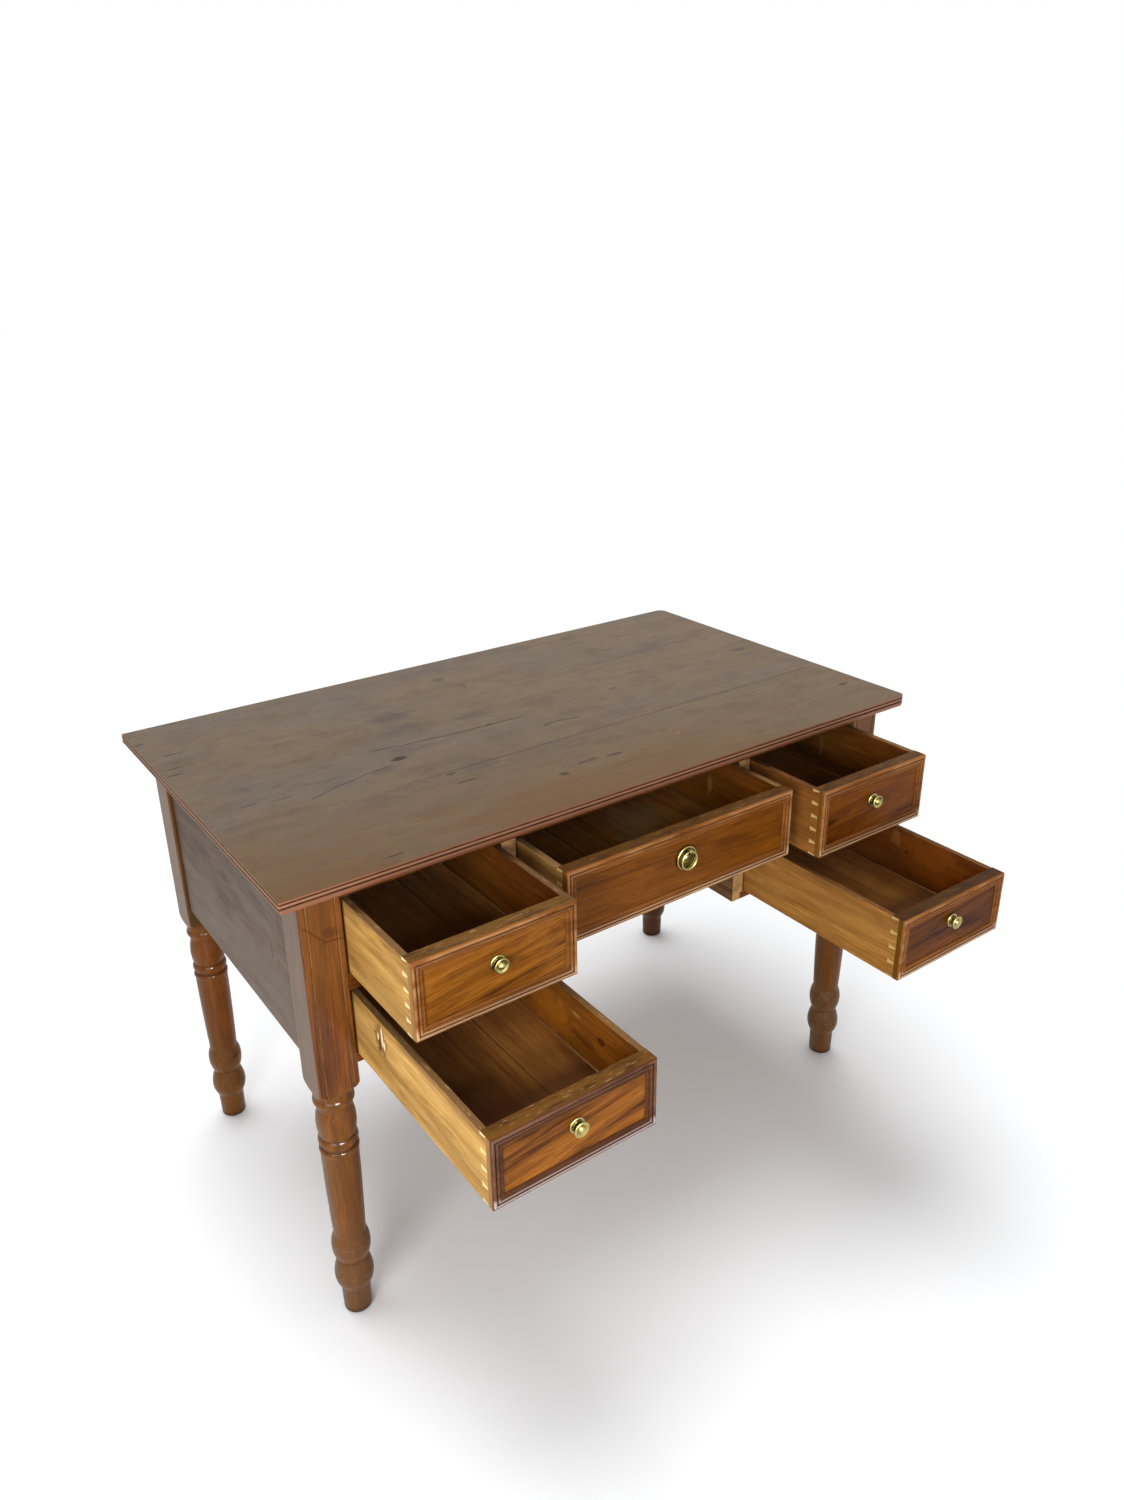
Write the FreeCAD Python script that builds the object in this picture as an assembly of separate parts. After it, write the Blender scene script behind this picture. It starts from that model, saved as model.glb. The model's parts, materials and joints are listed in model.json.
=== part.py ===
"""Writing desk on turned legs, with a centre drawer and two side drawers on each hand.

Sizes are in millimetres. X runs along the desk, Y to the rear and Z up. The carcass is laid out
about the middle of the top. The drawers stand open as in use, and the finished pieces are then
moved so that the origin is on the floor, under the middle of the space that the desk takes up.
"""

import FreeCAD
import Part
import math
import os

from FreeCAD import Vector

# Overall sizes
desk_length = 1142.0
desk_depth = 655.0
desk_height = 760.0

# Top of three boards with a moulded edge
top_thickness = 20.0
top_side_overhang = 33.0
top_front_overhang = 34.0
front_board_width = 203.5
rear_board_width = 190.5
left_corner_radius = 3.0
right_corner_radius = 18.0
arris_inset = 1.0
arris_height = 2.6
edge_quirk_height = 1.0
edge_quirk_depth = 2.2
upper_reed_height = 4.8
lower_reed_height = 6.0
underside_inset = 6.0

# Leg block, with a bead run down the corners of its front face
leg_square = 60.0
leg_block_length = 310.0
leg_edge_radius = 3.5
leg_bead_width = 9.0
leg_bead_quirk = 2.0
shoulder_rise = 4.0
shoulder_drop = 11.0

# Turning below the block: drops are measured down from the block
neck_radius = 27.0
collar_radius = 29.2
collar_drop = 32.0
collar_height = 15.0
groove_radius = 24.6
urn_radius = 28.6
urn_drop = 46.0
urn_height = 46.0
urn_foot_radius = 26.0
bead_radius = 28.6
bead_quirk = 2.0
bead_root_radius = 25.0
upper_bead_height = 16.0
lower_bead_height = 10.0

# Turning above the floor: levels are measured up from the floor
taper_top_radius = 27.3
taper_end_radius = 23.6
taper_swell = 0.7
torus_top = 151.0
torus_level = 128.0
torus_radius = 28.8
waist_level = 100.0
waist_radius = 22.0
ball_level = 70.0
ball_radius = 29.2
scribe_rise = 7.0
scribe_depth = 1.2
foot_level = 47.0
foot_radius = 22.0
toe_radius = 21.0
toe_round = 4.0

# Carcass boards
panel_thickness = 18.0
panel_setback = 6.0
apron_depth = 280.0
panel_tenon_thickness = 8.0
panel_tenon_haunch = 18.0
tenon_length = 20.0
inner_panel_thickness = 23.0
inner_panel_housing = 5.0
side_opening_width = 242.0
rail_setback = 1.5
rail_depth = 60.0
rail_tenon_shoulder = 3.0
rail_housing = 6.0
top_rail_thickness = 21.0
divider_thickness = 26.0
bottom_rail_thickness = 13.0
upper_opening_height = 115.0

# Runners, guides, kickers and stops
inner_runner_width = 18.0
outer_runner_width = 54.0
guide_height = 22.0
stop_height = 5.0
stop_width = 40.0
stop_thickness = 14.0

# Screws that hold the top
screw_shank_radius = 2.2
screw_head_radius = 4.4
screw_head_height = 3.0
screw_grip = 12.0
screw_clearance = 0.1
screw_end_inset = 47.0

# Drawer boxes
drawer_length = 540.0
drawer_front_thickness = 20.0
drawer_side_thickness = 9.0
drawer_back_thickness = 10.0
drawer_side_drop = 1.0
drawer_back_drop = 6.0
drawer_side_gap = 2.5
drawer_top_gap = 3.6
running_gap = 0.4
stop_gap = 0.3
dovetail_lap = 8.0
dovetail_pitch = 23.0
pin_width = 3.0
pin_flare = 2.0
bottom_thickness = 6.0
bottom_rise = 9.0
bottom_groove = 4.5
bottom_board_width = 147.0

# Bead frame applied to the drawer fronts
frame_reed_width = 5.5
frame_outer_proud = 3.6
frame_middle_proud = 2.9
frame_inner_proud = 2.0
frame_quirk_floor = 1.2
frame_edge = 0.5

# Brass knobs
handle_rise = 9.0
rose_radius = 11.0
rose_edge = 1.8
rose_step_radius = 7.6
rose_thickness = 3.2
knob_neck_radius = 4.4
knob_waist_radius = 3.6
knob_neck_length = 3.2
knob_rim_radius = 10.6
knob_rim_width = 1.8
knob_rim_thickness = 2.0
knob_flare = 2.4
knob_dish_depth = 1.2
knob_button_radius = 5.2
knob_projection = 12.8
spindle_radius = 2.5
spindle_clearance = 0.1
nut_radius = 6.5
nut_thickness = 4.0

# Ring pull of the centre drawer
plate_radius = 18.4
plate_thickness = 1.8
plate_rim_height = 4.0
plate_rim_width = 3.0
plate_boss_radius = 6.4
plate_boss_height = 5.4
ring_radius = 13.6
ring_wire_radius = 1.6
ring_gap = 1.4
ring_drop = 1.6
eye_width = 4.6
eye_wall = 1.4
eye_clearance = 0.6

# How far each drawer stands open
upper_left_open = 176.0
lower_left_open = 338.0
upper_right_open = 152.0
lower_right_open = 320.0
centre_open = 115.0

# Levels
top_underside = desk_height - top_thickness
block_bottom = top_underside - leg_block_length
apron_bottom = top_underside - apron_depth
top_rail_underside = top_underside - top_rail_thickness
divider_top = top_rail_underside - upper_opening_height
divider_bottom = divider_top - divider_thickness
bottom_rail_top = apron_bottom + bottom_rail_thickness

# Planes along X, on the right-hand half
leg_outer = desk_length / 2 - top_side_overhang
leg_inner = leg_outer - leg_square
panel_outer = leg_outer - panel_setback
panel_inner = panel_outer - panel_thickness
inner_panel_outer = leg_inner - side_opening_width
inner_panel_inner = inner_panel_outer - inner_panel_thickness

# Planes along Y
top_edge = desk_depth / 2
front_plane = top_front_overhang - top_edge
rear_plane = -front_plane
leg_reach = rear_plane - leg_square
back_outer = rear_plane - panel_setback
back_inner = back_outer - panel_thickness
rail_front = front_plane + rail_setback
rail_rear = rail_front + rail_depth

# Foremost point of the open drawers, and the shift that puts the origin in the middle
widest_open = max(upper_left_open, lower_left_open, upper_right_open, lower_right_open, centre_open)
foremost = front_plane - widest_open - knob_projection
frame_shift = -(foremost + top_edge) / 2


def block(x_limits, y_limits, z_limits):
    """A squared piece between two limits on each axis."""
    low = Vector(min(x_limits), min(y_limits), min(z_limits))
    high = Vector(max(x_limits), max(y_limits), max(z_limits))
    size = high - low
    return Part.makeBox(size.x, size.y, size.z, low)


def outline(start, *steps):
    """A closed face. A step is the next corner, or a pair: a point on an arc and the arc's end."""
    edges = []
    here = start
    for step in steps:
        if isinstance(step, tuple):
            through, end = step
            edges.append(Part.Arc(here, through, end).toShape())
        else:
            end = step
            edges.append(Part.makeLine(here, end))
        here = end
    edges.append(Part.makeLine(here, start))
    return Part.Face(Part.Wire(edges))


def mirrored_in_x(shape):
    """The same piece on the other end of the desk."""
    return shape.mirror(Vector(0, 0, 0), Vector(1, 0, 0))


def mirrored_in_y(shape):
    """The same piece, front for rear."""
    return shape.mirror(Vector(0, 0, 0), Vector(0, 1, 0))


def joined(*shapes):
    """One solid from pieces of the same wood or metal."""
    return shapes[0].fuse(list(shapes[1:])).removeSplitter()


# The top

def backwards(start, steps):
    """A path's end and the steps that lead from there back to its start."""
    corners = [start]
    for step in steps:
        corners.append(step[1] if isinstance(step, tuple) else step)
    way_back = []
    for step, corner in zip(reversed(steps), reversed(corners[:-1])):
        way_back.append((step[0], corner) if isinstance(step, tuple) else corner)
    return corners[-1], way_back


def moulded_section(half_width, along):
    """Section of the top: at each edge an upright arris, two reeds between quirks, and a hollow.

    along(s, z) places a point of the section, with s measured from the middle.
    """
    arris = half_width - arris_inset
    quirk = half_width - edge_quirk_depth
    arris_foot = desk_height - arris_height
    upper_top = arris_foot - edge_quirk_height
    upper_foot = upper_top - upper_reed_height
    lower_top = upper_foot - edge_quirk_height
    lower_foot = lower_top - lower_reed_height
    underside = half_width - underside_inset
    hollow_share = math.sqrt(0.5)
    hollow_s = underside + (quirk - underside) * (1 - hollow_share)
    hollow_z = lower_foot - (lower_foot - top_underside) * (1 - hollow_share)

    def edge(side):
        """The moulding from the upper face down to the underside, on one side."""
        return along(side * arris, desk_height), [
            along(side * arris, arris_foot),
            along(side * quirk, arris_foot),
            along(side * quirk, upper_top),
            (along(side * half_width, (upper_top + upper_foot) / 2), along(side * quirk, upper_foot)),
            along(side * quirk, lower_top),
            (along(side * half_width, (lower_top + lower_foot) / 2), along(side * quirk, lower_foot)),
            (along(side * hollow_s, hollow_z), along(side * underside, top_underside)),
        ]

    start, right = edge(1)
    foot, left = backwards(*edge(-1))
    return outline(start, *right, foot, *left)


def make_top_boards():
    """Three boards glued edge to edge, with the moulding run round all four sides."""
    half_length = desk_length / 2
    along_length = moulded_section(top_edge, lambda s, z: Vector(-half_length, s, z))
    along_depth = moulded_section(half_length, lambda s, z: Vector(s, -top_edge, z))
    top = along_length.extrude(Vector(desk_length, 0, 0))
    top = top.common(along_depth.extrude(Vector(0, desk_depth, 0)))
    plan = block((-half_length, half_length), (-top_edge, top_edge), (top_underside, desk_height))
    uprights = [edge for edge in plan.Edges if edge.BoundBox.ZLength > top_thickness / 2]
    left = [edge for edge in uprights if edge.BoundBox.XMin < 0]
    plan = plan.makeFillet(left_corner_radius, left)
    uprights = [edge for edge in plan.Edges if edge.BoundBox.XMin > half_length - top_thickness / 2]
    right = [edge for edge in uprights if edge.BoundBox.ZLength > top_thickness / 2]
    top = top.common(plan.makeFillet(right_corner_radius, right))
    front_joint = front_board_width - top_edge
    rear_joint = top_edge - rear_board_width
    limits = {
        "top_board_front": (-top_edge, front_joint),
        "top_board_middle": (front_joint, rear_joint),
        "top_board_rear": (rear_joint, top_edge),
    }
    boards = {}
    for name, y_limits in limits.items():
        slab = block((-half_length, half_length), y_limits, (top_underside, desk_height))
        boards[name] = top.common(slab)
    return boards


# Legs

def turned(radius, level):
    """A point on the profile of a leg."""
    return Vector(radius, 0, level)


def scribed_swell(top, middle, foot):
    """A convex turning from top to foot with one fine line scribed round it above its middle."""
    scribe_level = middle.z + scribe_rise
    half_line = scribe_depth / 2

    def swell_radius(level):
        share = (level - middle.z) / (top.z - middle.z)
        return middle.x - (middle.x - top.x) * share * share

    scribe_radius = swell_radius(scribe_level)
    upper_edge = turned(scribe_radius, scribe_level + half_line)
    root = turned(scribe_radius - scribe_depth, scribe_level)
    lower_edge = turned(scribe_radius, scribe_level - half_line)
    flank_level = (top.z + upper_edge.z) / 2
    flank = turned(swell_radius(flank_level), flank_level)
    return [(flank, upper_edge), root, lower_edge, (middle, foot)]


def make_turning():
    """The turned shank from the block's shoulder down to the foot."""
    neck_top = block_bottom - shoulder_drop
    collar_level = block_bottom - collar_drop
    collar_half = collar_height / 2
    urn_top = block_bottom - urn_drop
    urn_foot = urn_top - urn_height
    upper_bead_top = urn_foot - bead_quirk
    upper_bead_foot = upper_bead_top - upper_bead_height
    lower_bead_top = upper_bead_foot - bead_quirk
    taper_top = lower_bead_top - lower_bead_height
    taper_middle = (taper_top_radius + taper_end_radius) / 2 + taper_swell
    waist = turned(waist_radius, waist_level)
    foot = turned(foot_radius, foot_level)
    torus = scribed_swell(turned(taper_end_radius, torus_top), turned(torus_radius, torus_level), waist)
    ball = scribed_swell(waist, turned(ball_radius, ball_level), foot)
    toe_bend = toe_round * (1 - math.sqrt(0.5))
    profile = outline(
        turned(0, neck_top),
        turned(neck_radius, neck_top),
        turned(neck_radius, collar_level + collar_half),
        (turned(collar_radius, collar_level), turned(groove_radius, collar_level - collar_half)),
        turned(groove_radius, urn_top),
        (turned(urn_radius, (urn_top + urn_foot) / 2), turned(urn_foot_radius, urn_foot)),
        turned(bead_root_radius, urn_foot),
        turned(bead_root_radius, upper_bead_top),
        (
            turned(bead_radius, (upper_bead_top + upper_bead_foot) / 2),
            turned(bead_root_radius, upper_bead_foot),
        ),
        turned(bead_root_radius, lower_bead_top),
        (turned(bead_radius, (lower_bead_top + taper_top) / 2), turned(taper_top_radius, taper_top)),
        (turned(taper_middle, (taper_top + torus_top) / 2), turned(taper_end_radius, torus_top)),
        *torus,
        *ball,
        turned(toe_radius, toe_round),
        (turned(toe_radius - toe_bend, toe_bend), turned(toe_radius - toe_round, 0)),
        turned(0, 0),
    )
    return profile.revolve(Vector(0, 0, 0), Vector(0, 0, 1), 360)


def make_leg_block(beaded):
    """The square block about its own axis, its foot rounded in the lathe down to the neck.

    A beaded block has a quirk beside each corner of its front face.
    """
    half = leg_square / 2
    foot = block_bottom - shoulder_drop
    square = block((-half, half), (-half, half), (foot, top_underside))
    uprights = [edge for edge in square.Edges if edge.BoundBox.ZLength > leg_block_length / 2]
    square = square.makeFillet(leg_edge_radius, uprights)
    corner = half * math.sqrt(2)
    shoulder_top = block_bottom + shoulder_rise
    lean = math.sqrt(0.5)
    bulge = turned(
        neck_radius + (corner - neck_radius) * lean,
        shoulder_top - (shoulder_top - foot) * lean,
    )
    shoulder = outline(
        turned(0, top_underside),
        turned(corner, top_underside),
        turned(corner, shoulder_top),
        (bulge, turned(neck_radius, foot)),
        turned(0, foot),
    )
    square = square.common(shoulder.revolve(Vector(0, 0, 0), Vector(0, 0, 1), 360))
    if beaded:
        for side in (-1, 1):
            quirk_edge = side * (half - leg_bead_width)
            quirk = block(
                (quirk_edge, quirk_edge - side * leg_bead_quirk),
                (-half, leg_bead_quirk - half),
                (foot, top_underside),
            )
            square = square.cut(quirk)
    return square


def make_leg(beaded):
    """A right-hand front leg in its place, before its mortises are cut."""
    leg = joined(make_leg_block(beaded), make_turning())
    leg.translate(Vector(leg_outer - leg_square / 2, front_plane + leg_square / 2, 0))
    return leg


# Carcass boards

def make_side_panel():
    """The right-hand end panel, tenoned into the front and rear legs."""
    board = block((panel_inner, panel_outer), (-leg_reach, leg_reach), (apron_bottom, top_underside))
    middle = (panel_inner + panel_outer) / 2
    half = panel_tenon_thickness / 2
    tongue = block(
        (middle - half, middle + half),
        (-leg_reach - tenon_length, leg_reach + tenon_length),
        (apron_bottom + panel_tenon_haunch, top_underside - panel_tenon_haunch),
    )
    return joined(board, tongue)


def make_back_panel():
    """The back, tenoned into the rear legs, before the inner panels are housed in it."""
    board = block((-leg_inner, leg_inner), (back_inner, back_outer), (apron_bottom, top_underside))
    middle = (back_inner + back_outer) / 2
    half = panel_tenon_thickness / 2
    tongue = block(
        (-leg_inner - tenon_length, leg_inner + tenon_length),
        (middle - half, middle + half),
        (apron_bottom + panel_tenon_haunch, top_underside - panel_tenon_haunch),
    )
    return joined(board, tongue)


def rail_tenon(x_limits, z_limits):
    """The tongue of a front rail, shouldered on all four sides."""
    return block(
        x_limits,
        (rail_front + 2 * rail_tenon_shoulder, rail_rear - 2 * rail_tenon_shoulder),
        (min(z_limits) + rail_tenon_shoulder, max(z_limits) - rail_tenon_shoulder),
    )


def make_top_rail():
    """The rail under the top's front edge, from leg to leg."""
    z_limits = (top_rail_underside, top_underside)
    board = block((-leg_inner, leg_inner), (rail_front, rail_rear), z_limits)
    reach = leg_inner + tenon_length
    return joined(board, rail_tenon((-reach, reach), z_limits))


def make_side_rail(z_limits):
    """A right-hand drawer rail: tenoned into the leg and housed in the inner panel."""
    board = block((inner_panel_outer - rail_housing, leg_inner), (rail_front, rail_rear), z_limits)
    return joined(board, rail_tenon((leg_inner - rail_housing, leg_inner + tenon_length), z_limits))


def make_centre_rail():
    """The rail under the centre drawer, housed in both inner panels."""
    reach = inner_panel_inner + rail_housing
    return block((-reach, reach), (rail_front, rail_rear), (divider_bottom, divider_top))


def make_inner_panel(rails):
    """The right-hand panel beside the kneehole, notched and housed for the rails."""
    board = block(
        (inner_panel_inner, inner_panel_outer),
        (rail_front, back_inner + inner_panel_housing),
        (apron_bottom, top_underside),
    )
    return board.cut(rails)


# Runners, guides, kickers, stops and screws

def make_side_runners():
    """Right-hand runners at both drawer levels, with the guides beside the outer ones."""
    pieces = []
    for level, thickness in ((divider_top, divider_thickness), (bottom_rail_top, bottom_rail_thickness)):
        z_limits = (level - thickness, level)
        outer = (panel_inner - outer_runner_width, panel_inner)
        inner = (inner_panel_outer, inner_panel_outer + inner_runner_width)
        pieces.append(block(outer, (rail_rear, leg_reach), z_limits))
        pieces.append(block(inner, (rail_rear, back_inner), z_limits))
        guide = block((leg_inner, panel_inner), (rail_rear, leg_reach), (level, level + guide_height))
        pieces.append(guide)
    return pieces


def make_centre_runners():
    """Runners for the centre drawer, fixed to the inner panels."""
    right = block(
        (inner_panel_inner - inner_runner_width, inner_panel_inner),
        (rail_rear, back_inner),
        (divider_bottom, divider_top),
    )
    return [right, mirrored_in_x(right)]


def make_right_kickers():
    """Strips under the top, above the right-hand drawer and the right of the centre drawer."""
    z_limits = (top_rail_underside, top_underside)
    outer = (panel_inner - outer_runner_width, panel_inner)
    inner = (inner_panel_outer, inner_panel_outer + inner_runner_width)
    centre = (inner_panel_inner - inner_runner_width, inner_panel_inner)
    return [
        block(outer, (rail_rear, leg_reach), z_limits),
        block(inner, (rail_rear, back_inner), z_limits),
        block(centre, (rail_rear, back_inner), z_limits),
    ]


def screw_places():
    """Screw centres in plan: three along each outer and each inner side kicker."""
    columns = (
        panel_inner - outer_runner_width / 2,
        inner_panel_outer + inner_runner_width / 2,
    )
    rows = (
        rail_rear + screw_end_inset,
        (rail_rear + leg_reach) / 2,
        leg_reach - screw_end_inset,
    )
    places = []
    for x in columns:
        for y in rows:
            places.append(Vector(x, y, 0))
            places.append(Vector(-x, y, 0))
    return places


def make_screw(place, clearance):
    """A screw driven up through a kicker, its head sunk flush; clearance makes its hole."""
    head_top = top_rail_underside + screw_head_height
    head = Part.makeCylinder(
        screw_head_radius + clearance,
        screw_head_height,
        Vector(place.x, place.y, top_rail_underside),
    )
    shank_length = top_underside + screw_grip - head_top
    shank = Part.makeCylinder(
        screw_shank_radius + clearance,
        shank_length + clearance,
        Vector(place.x, place.y, head_top),
    )
    return joined(head, shank)


def make_stop(x, level):
    """A stop on a rail that meets the back of a closed drawer front."""
    start = front_plane + drawer_front_thickness + stop_gap
    return block(
        (x - stop_width / 2, x + stop_width / 2),
        (start, start + stop_thickness),
        (level, level + stop_height),
    )


# Drawers

def make_pins(x_limits, y_root, y_tip, z_limits):
    """Dovetail pins across a drawer side: wide at the root and narrow at the tip."""
    z_low, z_high = z_limits
    count = max(2, round((z_high - z_low) / dovetail_pitch))
    pitch = (z_high - z_low) / count
    tip = pin_width / 2
    root = tip + pin_flare
    x_start = min(x_limits)
    across = Vector(abs(x_limits[1] - x_limits[0]), 0, 0)
    pins = []
    for index in range(count + 1):
        middle = z_low + index * pitch
        face = outline(
            Vector(x_start, y_root, middle - root),
            Vector(x_start, y_root, middle + root),
            Vector(x_start, y_tip, middle + tip),
            Vector(x_start, y_tip, middle - tip),
        )
        pins.append(face.extrude(across))
    return pins


def make_bead_frame(x_limits, z_limits, face):
    """Four mitred lengths of moulding round a drawer front: three reeds, lower towards the field."""
    x_low, x_high = x_limits
    z_low, z_high = z_limits
    reeds = (
        (frame_outer_proud, frame_quirk_floor),
        (frame_middle_proud, frame_quirk_floor),
        (frame_inner_proud, frame_edge),
    )
    frame_width = frame_reed_width * len(reeds)

    def section(place):
        """The moulding's section: place(i, p) is i in from the edge and p proud of the front."""
        steps = [place(0, frame_quirk_floor)]
        start = 0
        for crown, foot in reeds:
            end = start + frame_reed_width
            steps.append((place((start + end) / 2, crown), place(end, foot)))
            start = end
        return outline(place(0, 0), *steps, place(frame_width, 0))

    def mitre(*corners):
        """Keeps the part of a length that lies within a border piece's plan."""
        points = [Vector(x, face, z) for x, z in corners]
        return outline(*points).extrude(Vector(0, -frame_outer_proud, 0))

    x_in = (x_low + frame_width, x_high - frame_width)
    z_in = (z_low + frame_width, z_high - frame_width)
    along_x = Vector(x_high - x_low, 0, 0)
    along_z = Vector(0, 0, z_high - z_low)
    lower = section(lambda i, p: Vector(x_low, face - p, z_low + i)).extrude(along_x)
    upper = section(lambda i, p: Vector(x_low, face - p, z_high - i)).extrude(along_x)
    left = section(lambda i, p: Vector(x_low + i, face - p, z_low)).extrude(along_z)
    right = section(lambda i, p: Vector(x_high - i, face - p, z_low)).extrude(along_z)
    return [
        lower.common(mitre((x_low, z_low), (x_high, z_low), (x_in[1], z_in[0]), (x_in[0], z_in[0]))),
        upper.common(mitre((x_low, z_high), (x_high, z_high), (x_in[1], z_in[1]), (x_in[0], z_in[1]))),
        left.common(mitre((x_low, z_low), (x_low, z_high), (x_in[0], z_in[1]), (x_in[0], z_in[0]))),
        right.common(mitre((x_high, z_low), (x_high, z_high), (x_in[1], z_in[1]), (x_in[1], z_in[0]))),
    ]


def make_bottom_boards(x_limits, y_limits, z_limits):
    """Bottom boards that run from front to back, side by side, from the left."""
    x_low, x_high = x_limits
    boards = []
    start = x_low
    while start < x_high:
        end = min(start + bottom_board_width, x_high)
        boards.append(block((start, end), y_limits, z_limits))
        start = end
    return boards


def make_drawer(x_limits, z_limits, face):
    """A dovetailed drawer box: lap dovetails at the front and through dovetails at the back."""
    x_low, x_high = x_limits
    z_low, z_high = z_limits
    front_back = face + drawer_front_thickness
    rear_end = face + drawer_length
    back_front = rear_end - drawer_back_thickness
    side_top = z_high - drawer_side_drop
    bottom_limits = (z_low + bottom_rise, z_low + bottom_rise + bottom_thickness)
    back_limits = (bottom_limits[1], z_high - drawer_back_drop)
    bottom_x = (
        x_low + drawer_side_thickness - bottom_groove,
        x_high - drawer_side_thickness + bottom_groove,
    )
    bottom_y = (front_back - bottom_groove, rear_end)
    groove = block(bottom_x, bottom_y, bottom_limits)

    sides = []
    for side_x in ((x_low, x_low + drawer_side_thickness), (x_high - drawer_side_thickness, x_high)):
        side = block(side_x, (face + dovetail_lap, rear_end), (z_low, side_top))
        side = side.cut(make_pins(side_x, front_back, face + dovetail_lap, (z_low, side_top)))
        side = side.cut(make_pins(side_x, back_front, rear_end, back_limits))
        above_back = block(side_x, (back_front, rear_end), (back_limits[1], side_top))
        sides.append(side.cut(above_back))

    front = block(x_limits, (face, front_back), z_limits).cut(sides + [groove])
    back = block(x_limits, (back_front, rear_end), back_limits).cut(sides)
    return {
        "front": front,
        "left_side": sides[0].cut(groove),
        "right_side": sides[1].cut(groove),
        "back": back,
        "bottom": Part.makeCompound(make_bottom_boards(bottom_x, bottom_y, bottom_limits)),
        "bead": Part.makeCompound(make_bead_frame(x_limits, z_limits, face)),
    }


# Handles, turned about an axis that points out of the drawer front

def out(radius, proud):
    """A point on a handle's profile, with proud measured out from the drawer front."""
    return Vector(radius, -proud, 0)


def spun(profile):
    """A solid turned from a handle's profile."""
    return profile.revolve(Vector(0, 0, 0), Vector(0, 1, 0), 360)


def dome(radius, base, height):
    """The arc of a shallow cap over a round face, as a point on it and its crown."""
    ball = (radius * radius + height * height) / (2 * height)
    half_angle = math.asin(radius / ball) / 2
    centre = base + height - ball
    through = out(ball * math.sin(half_angle), centre + ball * math.cos(half_angle))
    return through, out(0, base + height)


def make_nut():
    """A hexagonal nut behind the drawer front, on the handle's spindle."""
    corners = []
    for index in range(6):
        angle = math.radians(60 * index)
        corner = Vector(math.cos(angle), 0, math.sin(angle)) * nut_radius
        corners.append(corner + Vector(0, drawer_front_thickness, 0))
    nut = outline(*corners).extrude(Vector(0, nut_thickness, 0))
    return nut.cut(make_spindle_hole())


def make_spindle_hole():
    """The hole for a spindle, through the front and whatever is on either side of it."""
    length = drawer_front_thickness + knob_projection + nut_thickness
    start = Vector(0, -knob_projection / 2, 0)
    return Part.makeCylinder(spindle_radius + spindle_clearance, length, start, Vector(0, 1, 0))


def make_knob():
    """A stepped rose, a knob with a dished face, a round button and a spindle, and the nut."""
    rose_bend = rose_edge * (1 - math.sqrt(0.5))
    rose = spun(outline(
        out(0, 0),
        out(rose_radius, 0),
        (out(rose_radius - rose_bend, rose_edge - rose_bend), out(rose_radius - rose_edge, rose_edge)),
        out(rose_step_radius, rose_edge),
        out(rose_step_radius, rose_thickness),
        out(0, rose_thickness),
    )).cut(make_spindle_hole())
    head_back = rose_thickness + knob_neck_length
    rim_back = head_back + knob_flare
    rim_front = rim_back + knob_rim_thickness
    rim_inner = knob_rim_radius - knob_rim_width
    rim_shoulder = knob_rim_radius - knob_rim_thickness / 2
    dish = rim_front - knob_dish_depth
    spindle_end = -drawer_front_thickness - nut_thickness
    knob = spun(outline(
        out(0, spindle_end),
        out(spindle_radius, spindle_end),
        out(spindle_radius, rose_thickness),
        out(knob_neck_radius, rose_thickness),
        (out(knob_waist_radius, (rose_thickness + head_back) / 2), out(knob_neck_radius, head_back)),
        out(rim_shoulder, rim_back),
        (out(knob_rim_radius, (rim_back + rim_front) / 2), out(rim_shoulder, rim_front)),
        out(rim_inner, rim_front),
        out(knob_button_radius, dish),
        dome(knob_button_radius, dish, knob_projection - dish),
    ))
    return [rose, knob, make_nut()]


def ring_depth():
    """How far the ring's wire stands out from the drawer front."""
    return max(plate_rim_height, plate_boss_height) + ring_gap + ring_wire_radius


def make_pull_plate():
    """A round plate with a raised rim and boss, the ring's eye above the boss, and the nut."""
    rim_inner = plate_radius - plate_rim_width
    spindle_end = -drawer_front_thickness - nut_thickness
    plate = spun(outline(
        out(0, spindle_end),
        out(spindle_radius, spindle_end),
        out(spindle_radius, 0),
        out(plate_radius, 0),
        out(plate_radius, plate_thickness),
        (
            out(plate_radius - plate_rim_width / 2, plate_rim_height),
            out(rim_inner, plate_thickness),
        ),
        out(plate_boss_radius, plate_thickness),
        dome(plate_boss_radius, plate_thickness, plate_boss_height - plate_thickness),
    ))
    hole_radius = ring_wire_radius + eye_clearance
    eye_radius = hole_radius + eye_wall
    eye_level = ring_radius - ring_drop
    start = Vector(-eye_width / 2, -ring_depth(), eye_level)
    barrel = Part.makeCylinder(eye_radius, eye_width, start, Vector(1, 0, 0))
    stem = block(
        (-eye_width / 2, eye_width / 2),
        (-ring_depth(), -plate_thickness / 2),
        (eye_level - eye_radius, eye_level + eye_radius),
    )
    bore = Part.makeCylinder(hole_radius, eye_width, start, Vector(1, 0, 0))
    return [joined(plate, barrel, stem).cut(bore), make_nut()]


def make_pull_ring():
    """The ring, hanging in its eye in front of the plate."""
    centre = Vector(0, -ring_depth(), -ring_drop)
    return Part.makeTorus(ring_radius, ring_wire_radius, centre, Vector(0, 1, 0))


def placed(shapes, place):
    """Copies of the shapes moved to a place."""
    moved = []
    for shape in shapes:
        copy = shape.copy()
        copy.translate(place)
        moved.append(copy)
    return moved


# Putting the desk together

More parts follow.
